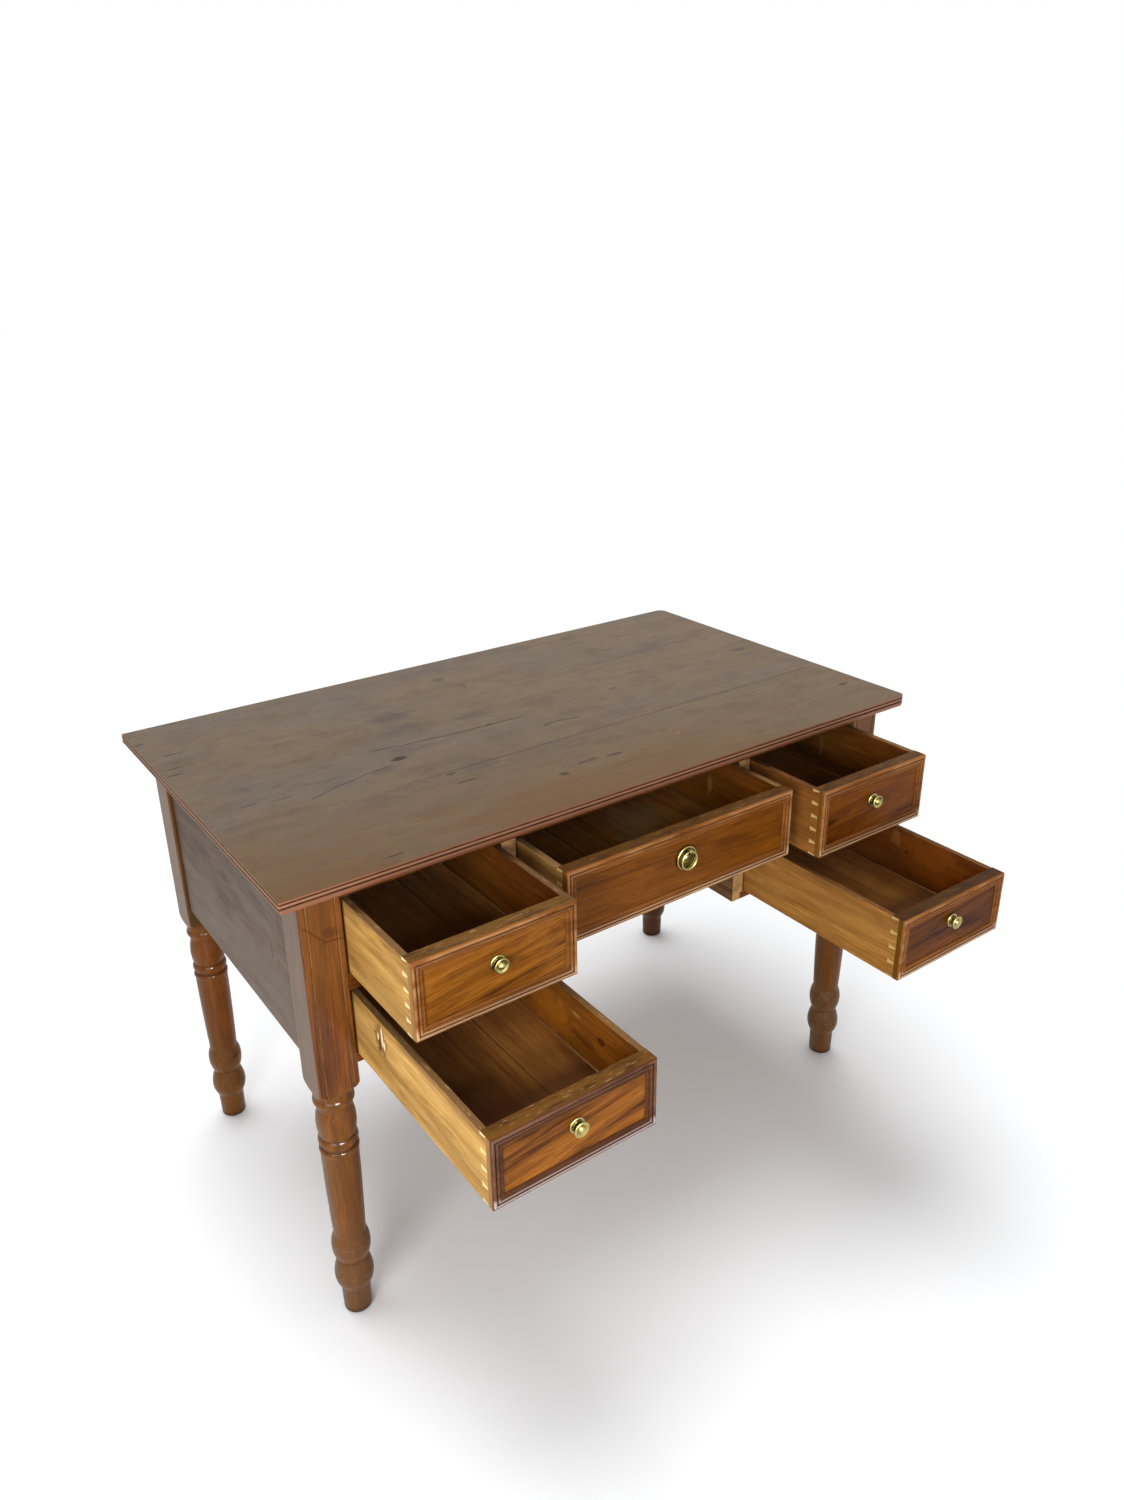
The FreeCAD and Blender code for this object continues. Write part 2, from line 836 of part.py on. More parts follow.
def add_carcass(nodes):
    """Legs, panels, rails and top, with every mortise and housing cut by the piece it holds."""
    side_panel = make_side_panel()
    back_panel = make_back_panel()
    top_rail = make_top_rail()
    divider = make_side_rail((divider_bottom, divider_top))
    bottom_rail = make_side_rail((apron_bottom, bottom_rail_top))
    centre_rail = make_centre_rail()
    inner_panel = make_inner_panel([top_rail, divider, bottom_rail, centre_rail])
    inner_panels = [inner_panel, mirrored_in_x(inner_panel)]
    front_leg = make_leg(True).cut([side_panel, top_rail, divider, bottom_rail])
    rear_leg = mirrored_in_y(make_leg(False)).cut([side_panel, back_panel])

    nodes["back_panel"] = back_panel.cut(inner_panels)
    nodes["top_rail"] = top_rail
    nodes["centre_rail"] = centre_rail
    pairs = {
        "leg_front": front_leg,
        "leg_rear": rear_leg,
        "side_panel": side_panel,
        "inner_panel": inner_panel,
        "divider_rail": divider,
        "bottom_rail": bottom_rail,
        "runners": Part.makeCompound(make_side_runners()),
    }
    for name, shape in pairs.items():
        nodes[name + "_right"] = shape
        nodes[name + "_left"] = mirrored_in_x(shape)
    nodes["runners_centre"] = Part.makeCompound(make_centre_runners())


def add_top(nodes):
    """The top boards on their kickers, with the screws and their holes."""
    kickers = make_right_kickers()
    kickers += [mirrored_in_x(kicker) for kicker in kickers]
    holes = [make_screw(place, screw_clearance) for place in screw_places()]
    screws = [make_screw(place, 0) for place in screw_places()]
    for name, board in make_top_boards().items():
        nodes[name] = board.cut(holes)
    nodes["kickers"] = Part.makeCompound([kicker.cut(holes) for kicker in kickers])
    nodes["top_screws"] = Part.makeCompound(screws)


def add_drawers(nodes):
    """Five drawers at their openings, with their handles and stops."""
    right = (inner_panel_outer + drawer_side_gap, leg_inner - drawer_side_gap)
    left = (-right[1], -right[0])
    centre = (drawer_side_gap - inner_panel_inner, inner_panel_inner - drawer_side_gap)
    upper = (divider_top, top_rail_underside)
    lower = (bottom_rail_top, divider_bottom)
    drawers = {
        "upper_left_drawer": (left, upper, upper_left_open),
        "lower_left_drawer": (left, lower, lower_left_open),
        "upper_right_drawer": (right, upper, upper_right_open),
        "lower_right_drawer": (right, lower, lower_right_open),
        "centre_drawer": (centre, upper, centre_open),
    }
    stops = []
    for name, (x_limits, opening, pulled_out) in drawers.items():
        face = front_plane - pulled_out
        z_limits = (opening[0] + running_gap, opening[1] - drawer_top_gap)
        middle = sum(x_limits) / 2
        place = Vector(middle, face, sum(z_limits) / 2 + handle_rise)
        pieces = make_drawer(x_limits, z_limits, face)
        pieces["front"] = pieces["front"].cut(placed([make_spindle_hole()], place))
        if name == "centre_drawer":
            pieces["pull_plate"] = Part.makeCompound(placed(make_pull_plate(), place))
            pieces["pull_ring"] = placed([make_pull_ring()], place)[0]
        else:
            pieces["knob"] = Part.makeCompound(placed(make_knob(), place))
        for piece, shape in pieces.items():
            nodes[name + "_" + piece] = shape
        stops.append(make_stop(middle, opening[0]))
    nodes["drawer_stops"] = Part.makeCompound(stops)


def main():
    nodes = {}
    add_top(nodes)
    add_carcass(nodes)
    add_drawers(nodes)
    os.makedirs("parts", exist_ok=True)
    for name, shape in nodes.items():
        shape.translate(Vector(0, frame_shift, 0))
        if not shape.isValid():
            print("not valid:", name)
        shape.exportStep(os.path.join("parts", name + ".step"))
    print(len(nodes), "pieces, frame shift", round(frame_shift, 3))


main()
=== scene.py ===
# %% [markdown]
# # An old writing desk, dressed for the camera
# The desk is a real working piece: a plank top on turned legs, with five dovetailed drawers that
# stand open. Its solids come ready made, at their true size and in their true place, so this lesson
# is about what Blender adds to them: a camera, a floor, soft light, and the woods and metals.
# Nothing here moves a solid. All lengths in the scene are metres, so millimetres are scaled.

# %% Load the solids
import json
import math

import bmesh
import bpy
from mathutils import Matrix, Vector


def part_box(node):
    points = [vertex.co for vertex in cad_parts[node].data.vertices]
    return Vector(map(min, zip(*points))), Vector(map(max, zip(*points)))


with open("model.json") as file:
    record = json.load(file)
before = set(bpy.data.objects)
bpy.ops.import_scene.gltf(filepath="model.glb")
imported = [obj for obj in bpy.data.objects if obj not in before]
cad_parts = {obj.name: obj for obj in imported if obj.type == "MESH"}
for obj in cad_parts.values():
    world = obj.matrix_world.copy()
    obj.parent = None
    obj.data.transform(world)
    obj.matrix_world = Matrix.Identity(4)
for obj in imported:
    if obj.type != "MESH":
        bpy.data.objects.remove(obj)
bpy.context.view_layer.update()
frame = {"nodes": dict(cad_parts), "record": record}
nodes = frame["nodes"]
MM = 0.001
front_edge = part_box("top_board_front")[0].y

# %% [markdown]
# ## The camera
# The desk is seen from its front left, from a standing person's eye level. A camera can be aimed by
# a constraint, but a place and three angles are plainer and can't drift. The lens is a short one,
# which is why the near drawers look large. The place is measured from the top's front edge, so the
# view keeps its hold on the desk if a drawer is drawn further.

# %% Camera
camera_before_edge = 1.1306
camera_place = Vector((-0.950, front_edge - camera_before_edge, 1.4546))
camera_angles = (66.350, 0.837, -35.431)
camera_lens_mm = 26.873
camera_data = bpy.data.cameras.new("desk_camera")
camera_data.lens = camera_lens_mm
camera = bpy.data.objects.new("desk_camera", camera_data)
camera.location = camera_place
camera.rotation_euler = [math.radians(angle) for angle in camera_angles]
bpy.context.scene.collection.objects.link(camera)
bpy.context.scene.camera = camera
bpy.context.scene.view_settings.view_transform = "Standard"
print("camera at", tuple(camera_place))

# %% [markdown]
# ## Two small helpers
# Colours are written as people pick them, as sRGB hex values, but shaders work in linear light, so
# one function turns the first into the second. The other adds a shader node: its properties are
# given by name, its inputs by socket, and an input may be a value or another node's output.

# %% Colour and node helpers
def linear(hex_colour):
    """An sRGB hex colour as linear red, green and blue with full alpha."""
    channels = [int(hex_colour[start:start + 2], 16) / 255 for start in (1, 3, 5)]
    curved = [c / 12.92 if c <= 0.04045 else ((c + 0.055) / 1.055) ** 2.4 for c in channels]
    return curved + [1.0]


def add(tree, kind, inputs, take=0, **settings):
    """Add a node with its settings, set or link its inputs, and give back one output."""
    node = tree.nodes.new("ShaderNode" + kind)
    for name, value in settings.items():
        setattr(node, name, value)
    for socket, value in inputs.items():
        if isinstance(value, bpy.types.NodeSocket):
            tree.links.new(value, node.inputs[socket])
        else:
            node.inputs[socket].default_value = value
    return node.outputs[take]


print("white is", linear("#ffffff"))

# %% [markdown]
# ## The floor and the white surroundings
# A studio sweep is a pale floor that runs into a pale backdrop. Here the floor is a wide disc of matt
# paint, bright enough under the lamps to look white, and the world is the backdrop. The world lights
# the desk softly from all round. To the camera, and to reflections, it looks plain white: Light Path
# tells those rays apart, so the white costs no extra light on the desk.

# %% Floor
floor_radius = 30.0
floor_segments = 96

floor_shape = bmesh.new()
bmesh.ops.create_circle(floor_shape, cap_ends=True, radius=floor_radius, segments=floor_segments)
floor_mesh = bpy.data.meshes.new("pale_floor")
floor_shape.to_mesh(floor_mesh)
floor_shape.free()
floor = bpy.data.objects.new("pale_floor", floor_mesh)
bpy.context.scene.collection.objects.link(floor)

# Matt paint scatters all its light, so the floor shows the shadow and no reflection.
floor_paint = bpy.data.materials.new("matt_white_floor_paint")
floor_paint.use_nodes = True
paint = floor_paint.node_tree.nodes["Principled BSDF"]
paint.inputs["Base Color"].default_value = linear("#f6f8fa")
paint.inputs["Roughness"].default_value = 1.0
paint.inputs["Specular IOR Level"].default_value = 0.0
floor_mesh.materials.append(floor_paint)
print("floor", 2 * floor_radius, "m across")

# %% World
world_light = 0.52

world = bpy.data.worlds.new("white_surround")
world.use_nodes = True
bpy.context.scene.world = world
tree = world.node_tree
seen = add(tree, "LightPath", {}, take="Is Camera Ray")
for kind in ("Is Glossy Ray", "Is Transmission Ray"):
    other = add(tree, "LightPath", {}, take=kind)
    seen = add(tree, "Math", {0: seen, 1: other}, operation="MAXIMUM")
strength = add(tree, "MapRange", {"Value": seen, "To Min": world_light, "To Max": 1.0})
tree.links.new(strength, tree.nodes["Background"].inputs["Strength"])
tree.nodes["Background"].inputs["Color"].default_value = linear("#ffffff")
print("world lights at", world_light, "and looks white")

# %% [markdown]
# ## Light
# The shadow lies close under the desk, so the main light is overhead. A broad sun does that, and it
# is as strong everywhere, which keeps the floor even. A soft box on the left lights the left ends of
# the drawers. It is weak beside the sun, so that colours still come out about as they are written.
# The bright glints on the turned beads and the brass are a window's reflection, and a window strong
# enough for them would wash out the wood, so that lamp is left out of diffuse light. Seen from
# behind, it would also burn a white streak across the waxed top, so light linking spares the top.

# %% Lamps
sun_strength = 1.90
sun_spread = math.radians(38)
sun_lean = math.radians(13)
lamps = {
    "left_soft_box": {
        "at": (-1.50, -0.95, 0.95), "to": (-0.48, -0.30, 0.55),
        "watts": 13.0, "size": 0.7, "lights": True,
    },
    "window_glint": {
        "at": (-0.75, -2.60, 1.60), "to": (-0.30, -0.20, 0.40),
        "watts": 220.0, "size": 0.8, "lights": False,
    },
}

sun_data = bpy.data.lights.new("broad_sun", "SUN")
sun_data.energy = sun_strength
sun_data.angle = sun_spread
sun = bpy.data.objects.new("broad_sun", sun_data)
sun.rotation_euler = (-sun_lean, 0, 0)
bpy.context.scene.collection.objects.link(sun)

for name, lamp in lamps.items():
    lamp_data = bpy.data.lights.new(name, "AREA")
    lamp_data.energy = lamp["watts"]
    lamp_data.shape = "SQUARE"
    lamp_data.size = lamp["size"]
    light = bpy.data.objects.new(name, lamp_data)
    light.location = lamp["at"]
    aim = Vector(lamp["to"]) - Vector(lamp["at"])
    light.rotation_euler = aim.to_track_quat("-Z", "Y").to_euler()
    light.visible_diffuse = lamp["lights"]
    bpy.context.scene.collection.objects.link(light)
print("lamps:", sun.name, sorted(lamps))

# %% Spare the top
spared = bpy.data.collections.new("spared_by_window")
window = bpy.data.objects["window_glint"]
window.light_linking.receiver_collection = spared
for name, solid in nodes.items():
    if name.startswith("top_board"):
        spared.objects.link(solid)
for entry in spared.collection_objects:
    entry.light_linking.link_state = "EXCLUDE"

# %% [markdown]
# ## What wood is made of
# Wood is a bundle of fibres, so every pattern in it is long one way. Each board gets a space of its
# own, in millimetres with X along the grain, moved by a random amount so that no two boards match.
# An image of planks would repeat and stretch, so the patterns are drawn from noise: soft patches for
# stains and fibres, and the level lines of long low hills for the flowing figure, which is much how
# a saw meets the year rings of a tree.

# %% A board's own space
along_x = (0, 0, 0)
along_y = (0, 0, math.radians(-90))
along_z = (0, math.radians(90), 0)
board_shift_mm = (1700, 620, 310)


def desk_space(tree):
    """Millimetres in the desk's own frame, which move with the piece."""
    place = add(tree, "TexCoord", {}, take="Object")
    return add(tree, "VectorMath", {0: place, "Scale": 1 / MM}, operation="SCALE")


def board_space(tree, grain):
    """Millimetres in a board, with X along its grain, different for each board."""
    place = add(tree, "Mapping", {"Vector": desk_space(tree), "Rotation": grain})
    chance = add(tree, "ObjectInfo", {}, take="Random")
    shift = add(tree, "VectorMath", {0: board_shift_mm, "Scale": chance}, operation="SCALE")
    return add(tree, "VectorMath", {0: place, 1: shift}, operation="ADD")


def desk_axes(tree):
    """Millimetres across, back and up in the desk's own frame."""
    return add(tree, "SeparateXYZ", {0: desk_space(tree)}).node.outputs


def box_axes(tree):
    """How far across, back and up a point lies in its piece's own box, each from 0 to 1."""
    place = add(tree, "TexCoord", {}, take="Generated")
    return add(tree, "SeparateXYZ", {0: place}).node.outputs


print("boards moved in their grain by up to", board_shift_mm[0], "mm")

# %% Patches, hills and level lines
feather = 0.05


def patches(tree, space, size_mm, limits, strength=1.0, detail=4.0):
    """A mask of soft patches of a length and a width, where the noise passes from limit to limit."""
    length, width = size_mm
    stretch = (1 / length, 1 / width, 1 / width)
    place = add(tree, "VectorMath", {0: space, 1: stretch}, operation="MULTIPLY")
    noise = add(tree, "TexNoise", {"Vector": place, "Scale": 1.0, "Detail": detail, "Roughness": 0.6})
    step = {"Value": noise, "From Min": limits[0], "From Max": limits[1], "To Max": strength}
    return add(tree, "MapRange", step, interpolation_type="SMOOTHSTEP")


def hills(tree, space, size_mm, fibre):
    """Long low hills of a length and a width, with their slopes feathered by the fibres."""
    length, width = size_mm
    stretch = (1 / length, 1 / width, 1 / width)
    place = add(tree, "VectorMath", {0: space, 1: stretch}, operation="MULTIPLY")
    ground = {"Vector": place, "Scale": 1.0, "Detail": 2.0, "Roughness": 0.45, "Distortion": 0.25}
    height = add(tree, "TexNoise", ground)
    return add(tree, "Math", {0: fibre, 1: feather, 2: height}, operation="MULTIPLY_ADD")


def level_lines(tree, height, levels, limits, strength):
    """A mask of the hills' level lines, up and down in turn, between two limits."""
    climb = add(tree, "Math", {0: height, 1: levels}, operation="MULTIPLY")
    climb = add(tree, "Math", {0: climb, 1: 1.0}, operation="PINGPONG")
    step = {"Value": climb, "From Min": limits[0], "From Max": limits[1], "To Max": strength}
    return add(tree, "MapRange", step, interpolation_type="SMOOTHSTEP")


print("patterns ready, feathered by", feather)

# %% Layers and faces
def layered(tree, colour, layers):
    """A colour with layers over it: each is a mask, a colour and, if it isn't plain, how to mix it."""
    for mask, over, *how in layers:
        inputs = {0: mask, 6: colour, 7: linear(over) if isinstance(over, str) else over}
        mode = how[0] if how else "MIX"
        colour = add(tree, "Mix", inputs, take=2, data_type="RGBA", blend_type=mode)
    return colour


def facing(tree, axis, low, high, strength=1.0):
    """A mask of the faces that look along an axis."""
    normal = add(tree, "NewGeometry", {}, take="Normal")
    turned = add(tree, "VectorMath", {0: normal, 1: axis}, take="Value", operation="DOT_PRODUCT")
    step = {"Value": turned, "From Min": low, "From Max": high, "To Max": strength}
    return add(tree, "MapRange", step)


print("layers ready")

# %% [markdown]
# ## Worn edges, shut-in dust with painted shade, and the finish
# Hands and cloths round off every arris of old furniture and rub its polish thin, while wax and dust
# gather in the quirks where no cloth reaches. Both could be painted by hand, but two nodes find the
# places. Bevel gives the normal that a rounded edge would have, so it softens the edges and, set
# against the flat normal, shows where they are. Ambient Occlusion shows what is shut in, and the
# darkening laid there is painted shade as well as dust and wax. The finish itself is one shader: its
# colour, its gloss, and a relief as fine as the fibres.

# %% Edges and grime
edge_turn = {"From Min": 0.985, "From Max": 0.82}
shut_in = {"From Min": 0.94, "From Max": 0.50}


def soft_edges(tree, radius_mm):
    """The normal of rounded edges, and a mask of where they are."""
    rounded = add(tree, "Bevel", {"Radius": radius_mm * MM}, samples=6)
    flat = add(tree, "NewGeometry", {}, take="Normal")
    same = add(tree, "VectorMath", {0: rounded, 1: flat}, take="Value", operation="DOT_PRODUCT")
    return rounded, add(tree, "MapRange", {"Value": same, **edge_turn})


# Colour laid on this mask paints shade into the shut-in places, as well as dust and wax.
def grime_and_shade(tree, reach_mm, strength):
    """A mask of the quirks and corners where polish and dust gather and where shade falls, for dust
    and painted shade.
    """
    light = add(tree, "AmbientOcclusion", {"Distance": reach_mm * MM}, take="AO", samples=8)
    return add(tree, "MapRange", {"Value": light, **shut_in, "To Max": strength})


print("edges and grime ready")

# %% Finish
bump_depth_mm = 0.25
bump_strength = 0.6


def new_finish(name):
    """A new material with its node tree and its surface shader."""
    material = bpy.data.materials.new(name)
    material.use_nodes = True
    return material, material.node_tree, material.node_tree.nodes["Principled BSDF"]


def polish(tree, surface, colour, gloss, relief, normal, constants):
    """Join colour, roughness and relief to the surface, and set its constants."""
    raised = {"Height": relief, "Normal": normal, "Strength": bump_strength}
    raised["Distance"] = bump_depth_mm * MM
    tree.links.new(colour, surface.inputs["Base Color"])
    tree.links.new(gloss, surface.inputs["Roughness"])
    tree.links.new(add(tree, "Bump", raised), surface.inputs["Normal"])
    for name, value in constants.items():
        surface.inputs[name].default_value = value


print("relief of", bump_depth_mm, "mm ready")

# %% [markdown]
# ## One recipe for all the woods
# Every board here is a brown wood under old polish, and what differs is the palette, the size of the
# figure and how strong each layer is. So there is one recipe, and each wood gives it a short list of
# its own, with the reach and strength of the dust, wax and painted shade in its shut-in places and the
# width of its rubbed edges. Real fibres and pores are a fifth of a millimetre wide, too fine to show
# from a step away, so they are drawn about ten times as coarse. What happened to one wood alone, its
# history, comes as a function that gives more layers.

# %% The wood recipe
fibres = {"size_mm": (80, 2.2), "limits": (0.3, 0.7)}
pores = {"size_mm": (16, 1.6), "limits": (0.60, 0.68)}
tones = {"size_mm": (180, 55), "limits": (0.35, 0.65)}
streaks = {"size_mm": (200, 26), "limits": (0.42, 0.58)}
rubbing = {"size_mm": (30, 9), "limits": (0.36, 0.58)}
figure_levels = (0.05, 0.95)
vein_levels = (0.66, 0.97)
ring_levels = (0.45, 0.95)
rings_per_figure = 5
fibre_gloss = 0.12


def wood(name, grain, look, coat, history=None):
    """A wood: figure, veins, rings, tone, fibres, pores, its history, then dust with painted shade in
    the shut-in places, and worn edges.
    """
    material, tree, surface = new_finish(name)
    space = board_space(tree, grain)
    normal, edge = soft_edges(tree, look["edge_mm"])
    fibre = patches(tree, space, **fibres)
    pore = patches(tree, space, **pores)
    height = hills(tree, space, look["figure_mm"], fibre)
    levels = look["levels"]
    figure = level_lines(tree, height, levels, figure_levels, look["figure"])
    vein = level_lines(tree, height, levels, vein_levels, look["veins"])
    vein = add(tree, "Math", {0: vein, 1: patches(tree, space, **streaks)}, operation="MULTIPLY")
    rings = level_lines(tree, height, levels * rings_per_figure, ring_levels, look["rings"])
    tone = patches(tree, space, **tones, strength=look["tone"])
    fibre_shade = add(tree, "Math", {0: fibre, 1: look["fibre"]}, operation="MULTIPLY")
    pore_shade = add(tree, "Math", {0: pore, 1: look["pores"]}, operation="MULTIPLY")
    rubbed = patches(tree, space, **rubbing, strength=look["rub"])
    rubbed = add(tree, "Math", {0: edge, 1: rubbed}, operation="MULTIPLY")
    layers = [
        (figure, look["deep"]),
        (vein, look["vein"]),
        (rings, "#a08c78", "MULTIPLY"),
        (tone, "#b4a89c", "MULTIPLY"),
        (fibre_shade, "#9c8874", "MULTIPLY"),
        (pore_shade, look["vein"]),
    ]
    if history:
        layers += history(tree, space)
    layers += [
        # The shut-in places darken with dust and wax, and with painted shade.
        (grime_and_shade(tree, look["reach_mm"], look["shade_and_dirt"]), look["grime_and_shade"]),
        (rubbed, look["worn"]),
        (1.0, add(tree, "ObjectInfo", {}, take="Color"), "MULTIPLY"),
    ]
    colour = layered(tree, linear(look["pale"]), layers)
    rough = {0: fibre, 1: fibre_gloss, 2: look["roughness"]}
    gloss = add(tree, "Math", rough, operation="MULTIPLY_ADD")
    relief = add(tree, "Math", {0: fibre, 1: pore}, operation="SUBTRACT")
    polish(tree, surface, colour, gloss, relief, normal, coat)
    return material


print("wood recipe ready, fibres drawn", fibres["size_mm"][1], "mm wide")

# %% Coats
# Wax gives a broad dull sheen, shellac a faint gloss, and more of it where the lathe rubbed it up.
# A thin wash keeps a little sheen, and bare wood has next to none.
waxed = {"Specular IOR Level": 0.13, "Coat Weight": 0.03, "Coat Roughness": 0.30}
shellacked = {"Specular IOR Level": 0.05, "Coat Weight": 0.03, "Coat Roughness": 0.20}
lathe_polished = {"Specular IOR Level": 0.06, "Coat Weight": 0.28, "Coat Roughness": 0.12}
washed = {"Specular IOR Level": 0.13, "Coat Weight": 0.0}
bare = {"Specular IOR Level": 0.08, "Coat Weight": 0.0}
print("coats: wax, shellac, lathe polish, wash and bare wood")

# %% [markdown]
# ## Marks with a place of their own
# Noise alone makes new wood. What makes it old is that some marks are in one place only: an ink
# stain, a knot, a split. They could be an image, but a few ellipses and lines in the face's own
# millimetres say the same and stay sharp. Noise bends their outlines, so that none looks drawn.

# %% Spots
raggedness = 1.6
rag_mm = 50 / 3
soft_rim = (1.15, 0.45)
crisp_rim = (0.95, 0.65)


def flat_map(tree, first, second, start):
    """A map of a face: two of the desk's axes, in millimetres from a starting point."""
    axes = desk_axes(tree)
    flat = add(tree, "CombineXYZ", {0: axes[first], 1: axes[second]})
    return add(tree, "VectorMath", {0: flat, 1: (*start, 0)}, operation="SUBTRACT")


def spots(tree, flat, marks, colour, rim=crisp_rim):
    """Ragged spots: where each lies on the map, its half sizes and its depth of colour."""
    wobble = add(tree, "TexNoise", {"Vector": flat, "Scale": 1 / rag_mm, "Detail": 3.0}, take=1)
    wobble = add(tree, "VectorMath", {0: wobble, 1: (0.5, 0.5, 0.5)}, operation="SUBTRACT")
    wobble = add(tree, "VectorMath", {0: wobble, "Scale": raggedness}, operation="SCALE")
    layers = []
    for along, across, half_along, half_across, depth in marks.values():
        moved = add(tree, "VectorMath", {0: flat, 1: (along, across, 0)}, operation="SUBTRACT")
        sizes = (1 / half_along, 1 / half_across, 0)
        near = add(tree, "VectorMath", {0: moved, 1: sizes, 2: wobble}, operation="MULTIPLY_ADD")
        far = add(tree, "VectorMath", {0: near}, take="Value", operation="LENGTH")
        limits = {"Value": far, "From Min": rim[0], "From Max": rim[1], "To Max": depth}
        mask = add(tree, "MapRange", limits, interpolation_type="SMOOTHSTEP")
        layers.append((mask, colour))
    return layers


print("spots ready, ragged every", round(rag_mm), "mm")

# %% Scratches
wander_mm = 100 / 3
line_rim = (1.2, 0.5)
line_end = 0.06
line_depth = 0.95


def scratches(tree, flat, lines, colour):
    """Fine lines: two ends on the map, the bow between them, their wander and their width."""
    along = add(tree, "SeparateXYZ", {0: flat}, take=0)
    across = add(tree, "SeparateXYZ", {0: flat}, take=1)
    wobble = add(tree, "TexNoise", {"Vector": flat, "Scale": 1 / wander_mm, "Detail": 4.0})
    wobble = add(tree, "Math", {0: wobble, 1: 0.5}, operation="SUBTRACT")
    layers = []
    for start, end, bow, wander, width in lines.values():
        share = add(tree, "MapRange", {"Value": along, "From Min": start[0], "From Max": end[0]})
        rest = add(tree, "Math", {0: 1.0, 1: share}, operation="SUBTRACT")
        both = add(tree, "Math", {0: share, 1: rest}, operation="MULTIPLY")
        straight = {0: share, 1: end[1] - start[1], 2: start[1]}
        line = add(tree, "Math", straight, operation="MULTIPLY_ADD")
        line = add(tree, "Math", {0: both, 1: 4 * bow, 2: line}, operation="MULTIPLY_ADD")
        line = add(tree, "Math", {0: wobble, 1: wander, 2: line}, operation="MULTIPLY_ADD")
        off = add(tree, "Math", {0: across, 1: line}, operation="SUBTRACT")
        off = add(tree, "Math", {0: off}, operation="ABSOLUTE")
        sides = {"Value": off, "From Min": line_rim[0] * width, "From Max": line_rim[1] * width}
        ends = {"Value": both, "From Min": 0.0, "From Max": line_end, "To Max": line_depth}
        masks = {0: add(tree, "MapRange", sides), 1: add(tree, "MapRange", ends)}
        layers.append((add(tree, "Math", masks, operation="MULTIPLY"), colour))
    return layers


print("scratches ready")

# %% Bands and areas
def band(tree, value, place, half, strength):
    """A mask of a narrow band where a value in millimetres is near a place."""
    off = add(tree, "Math", {0: value, 1: place}, operation="SUBTRACT")
    off = add(tree, "Math", {0: off}, operation="ABSOLUTE")
    step = {"Value": off, "From Min": 1.5 * half, "From Max": 0.5 * half, "To Max": strength}
    return add(tree, "MapRange", step)


def within(tree, area, layers):
    """The same layers, kept to one area."""
    kept = []
    for mask, *rest in layers:
        kept.append((add(tree, "Math", {0: mask, 1: area}, operation="MULTIPLY"), *rest))
    return kept


print("bands and areas ready")

# %% [markdown]
# ## The top
# The top is three teak planks under worn wax: a bleached grey brown, with ink, knots, splits and
# short dark pores from a century of use. It is redder along the moulded edge, partly where the old
# stain has lasted and partly as a painted sheen. One crest of the moulding carries a painted
# highlight and its two quirks painted shade, and the left end of the top is painted darker as shade.
# Sleeves have rubbed the front back to warmer wood, most of all on the left. From a low angle the wax
# mirrors the white room as well, and the top looks greyer than its colours are written.

# %% Marks on the top
# A spot's place is counted along from the middle of the front edge and back from it.
stains = {
    "ink": (-189, 450, 44, 22, 0.5),
    "ink_run": (-204, 389, 56, 26, 0.35),
    "cup": (-73, 376, 40, 18, 0.45),
    "blot": (-290, 268, 26, 12, 0.45),
    "old_ring": (-170, 195, 40, 22, 0.35),
    "rear_knot": (-37, 562, 15, 9, 0.75),
    "far_knot": (513, 355, 14, 8, 0.8),
}
knots = {
    "knot": (-255, 292, 17, 8, 0.95),
    "dash": (-73, 325, 10, 4, 0.8),
    "left_dash": (-498, 276, 17, 4, 0.4),
    "left_dash_2": (-455, 268, 22, 5, 0.25),
    "dent": (-528, 522, 20, 3, 0.75),
    "dent_2": (-545, 465, 18, 3, 0.75),
    "dent_3": (-552, 441, 20, 3, 0.7),
    "dent_4": (-564, 589, 16, 4, 0.7),
    "speck": (-220, 195, 12, 4, 0.65),
    "speck_2": (-213, 160, 26, 4, 0.5),
    "nick": (-14, 505, 3, 20, 0.5),
    "front_knot": (-87, 94, 9, 6, 0.75),
    "front_dash": (17, 106, 16, 5, 0.65),
    "front_streak": (-30, 111, 30, 5, 0.45),
    "right_dash": (526, 104, 13, 5, 0.85),
    "mid_dash": (189, 335, 14, 4, 0.55),
    "corner_dash": (-404, 24, 18, 3, 0.55),
}
orange_fleck = {"orange_fleck": (147, 113, 8, 5, 0.6)}
front_joint = (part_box("top_board_front")[1].y - front_edge) / MM
rear_joint = (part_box("top_board_rear")[0].y - front_edge) / MM
splits = {
    "split": ((-290, 344), (10, 322), -6, 8, 1.5),
    "curl": ((-426, 238), (-270, 278), 6, 6, 1.0),
    "short_split": ((-5, 267), (66, 263), 4, 10, 1.6),
    "front_seam": ((-300, front_joint), (575, front_joint), 0, 0, 1.4),
    "rear_seam": ((300, rear_joint), (575, rear_joint), 0, 0, 1.1),
}
print("top marked with", len(stains) + len(knots), "spots and", len(splits), "lines")

# %% Teak top
teak_top = {
    "pale": "#715e47", "deep": "#614f3b", "vein": "#3a2a20", "worn": "#a87650", "grime_and_shade": "#1e100a",
    "figure_mm": (900, 60), "levels": 4, "figure": 0.3, "veins": 0.1, "rings": 0.12, "tone": 0.15,
    "fibre": 0.15, "pores": 0.12, "shade_and_dirt": 0.95, "reach_mm": 6, "rub": 0.9, "edge_mm": 1.3,
    "roughness": 0.38,
}
top_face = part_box("top_board_front")[1].z / MM
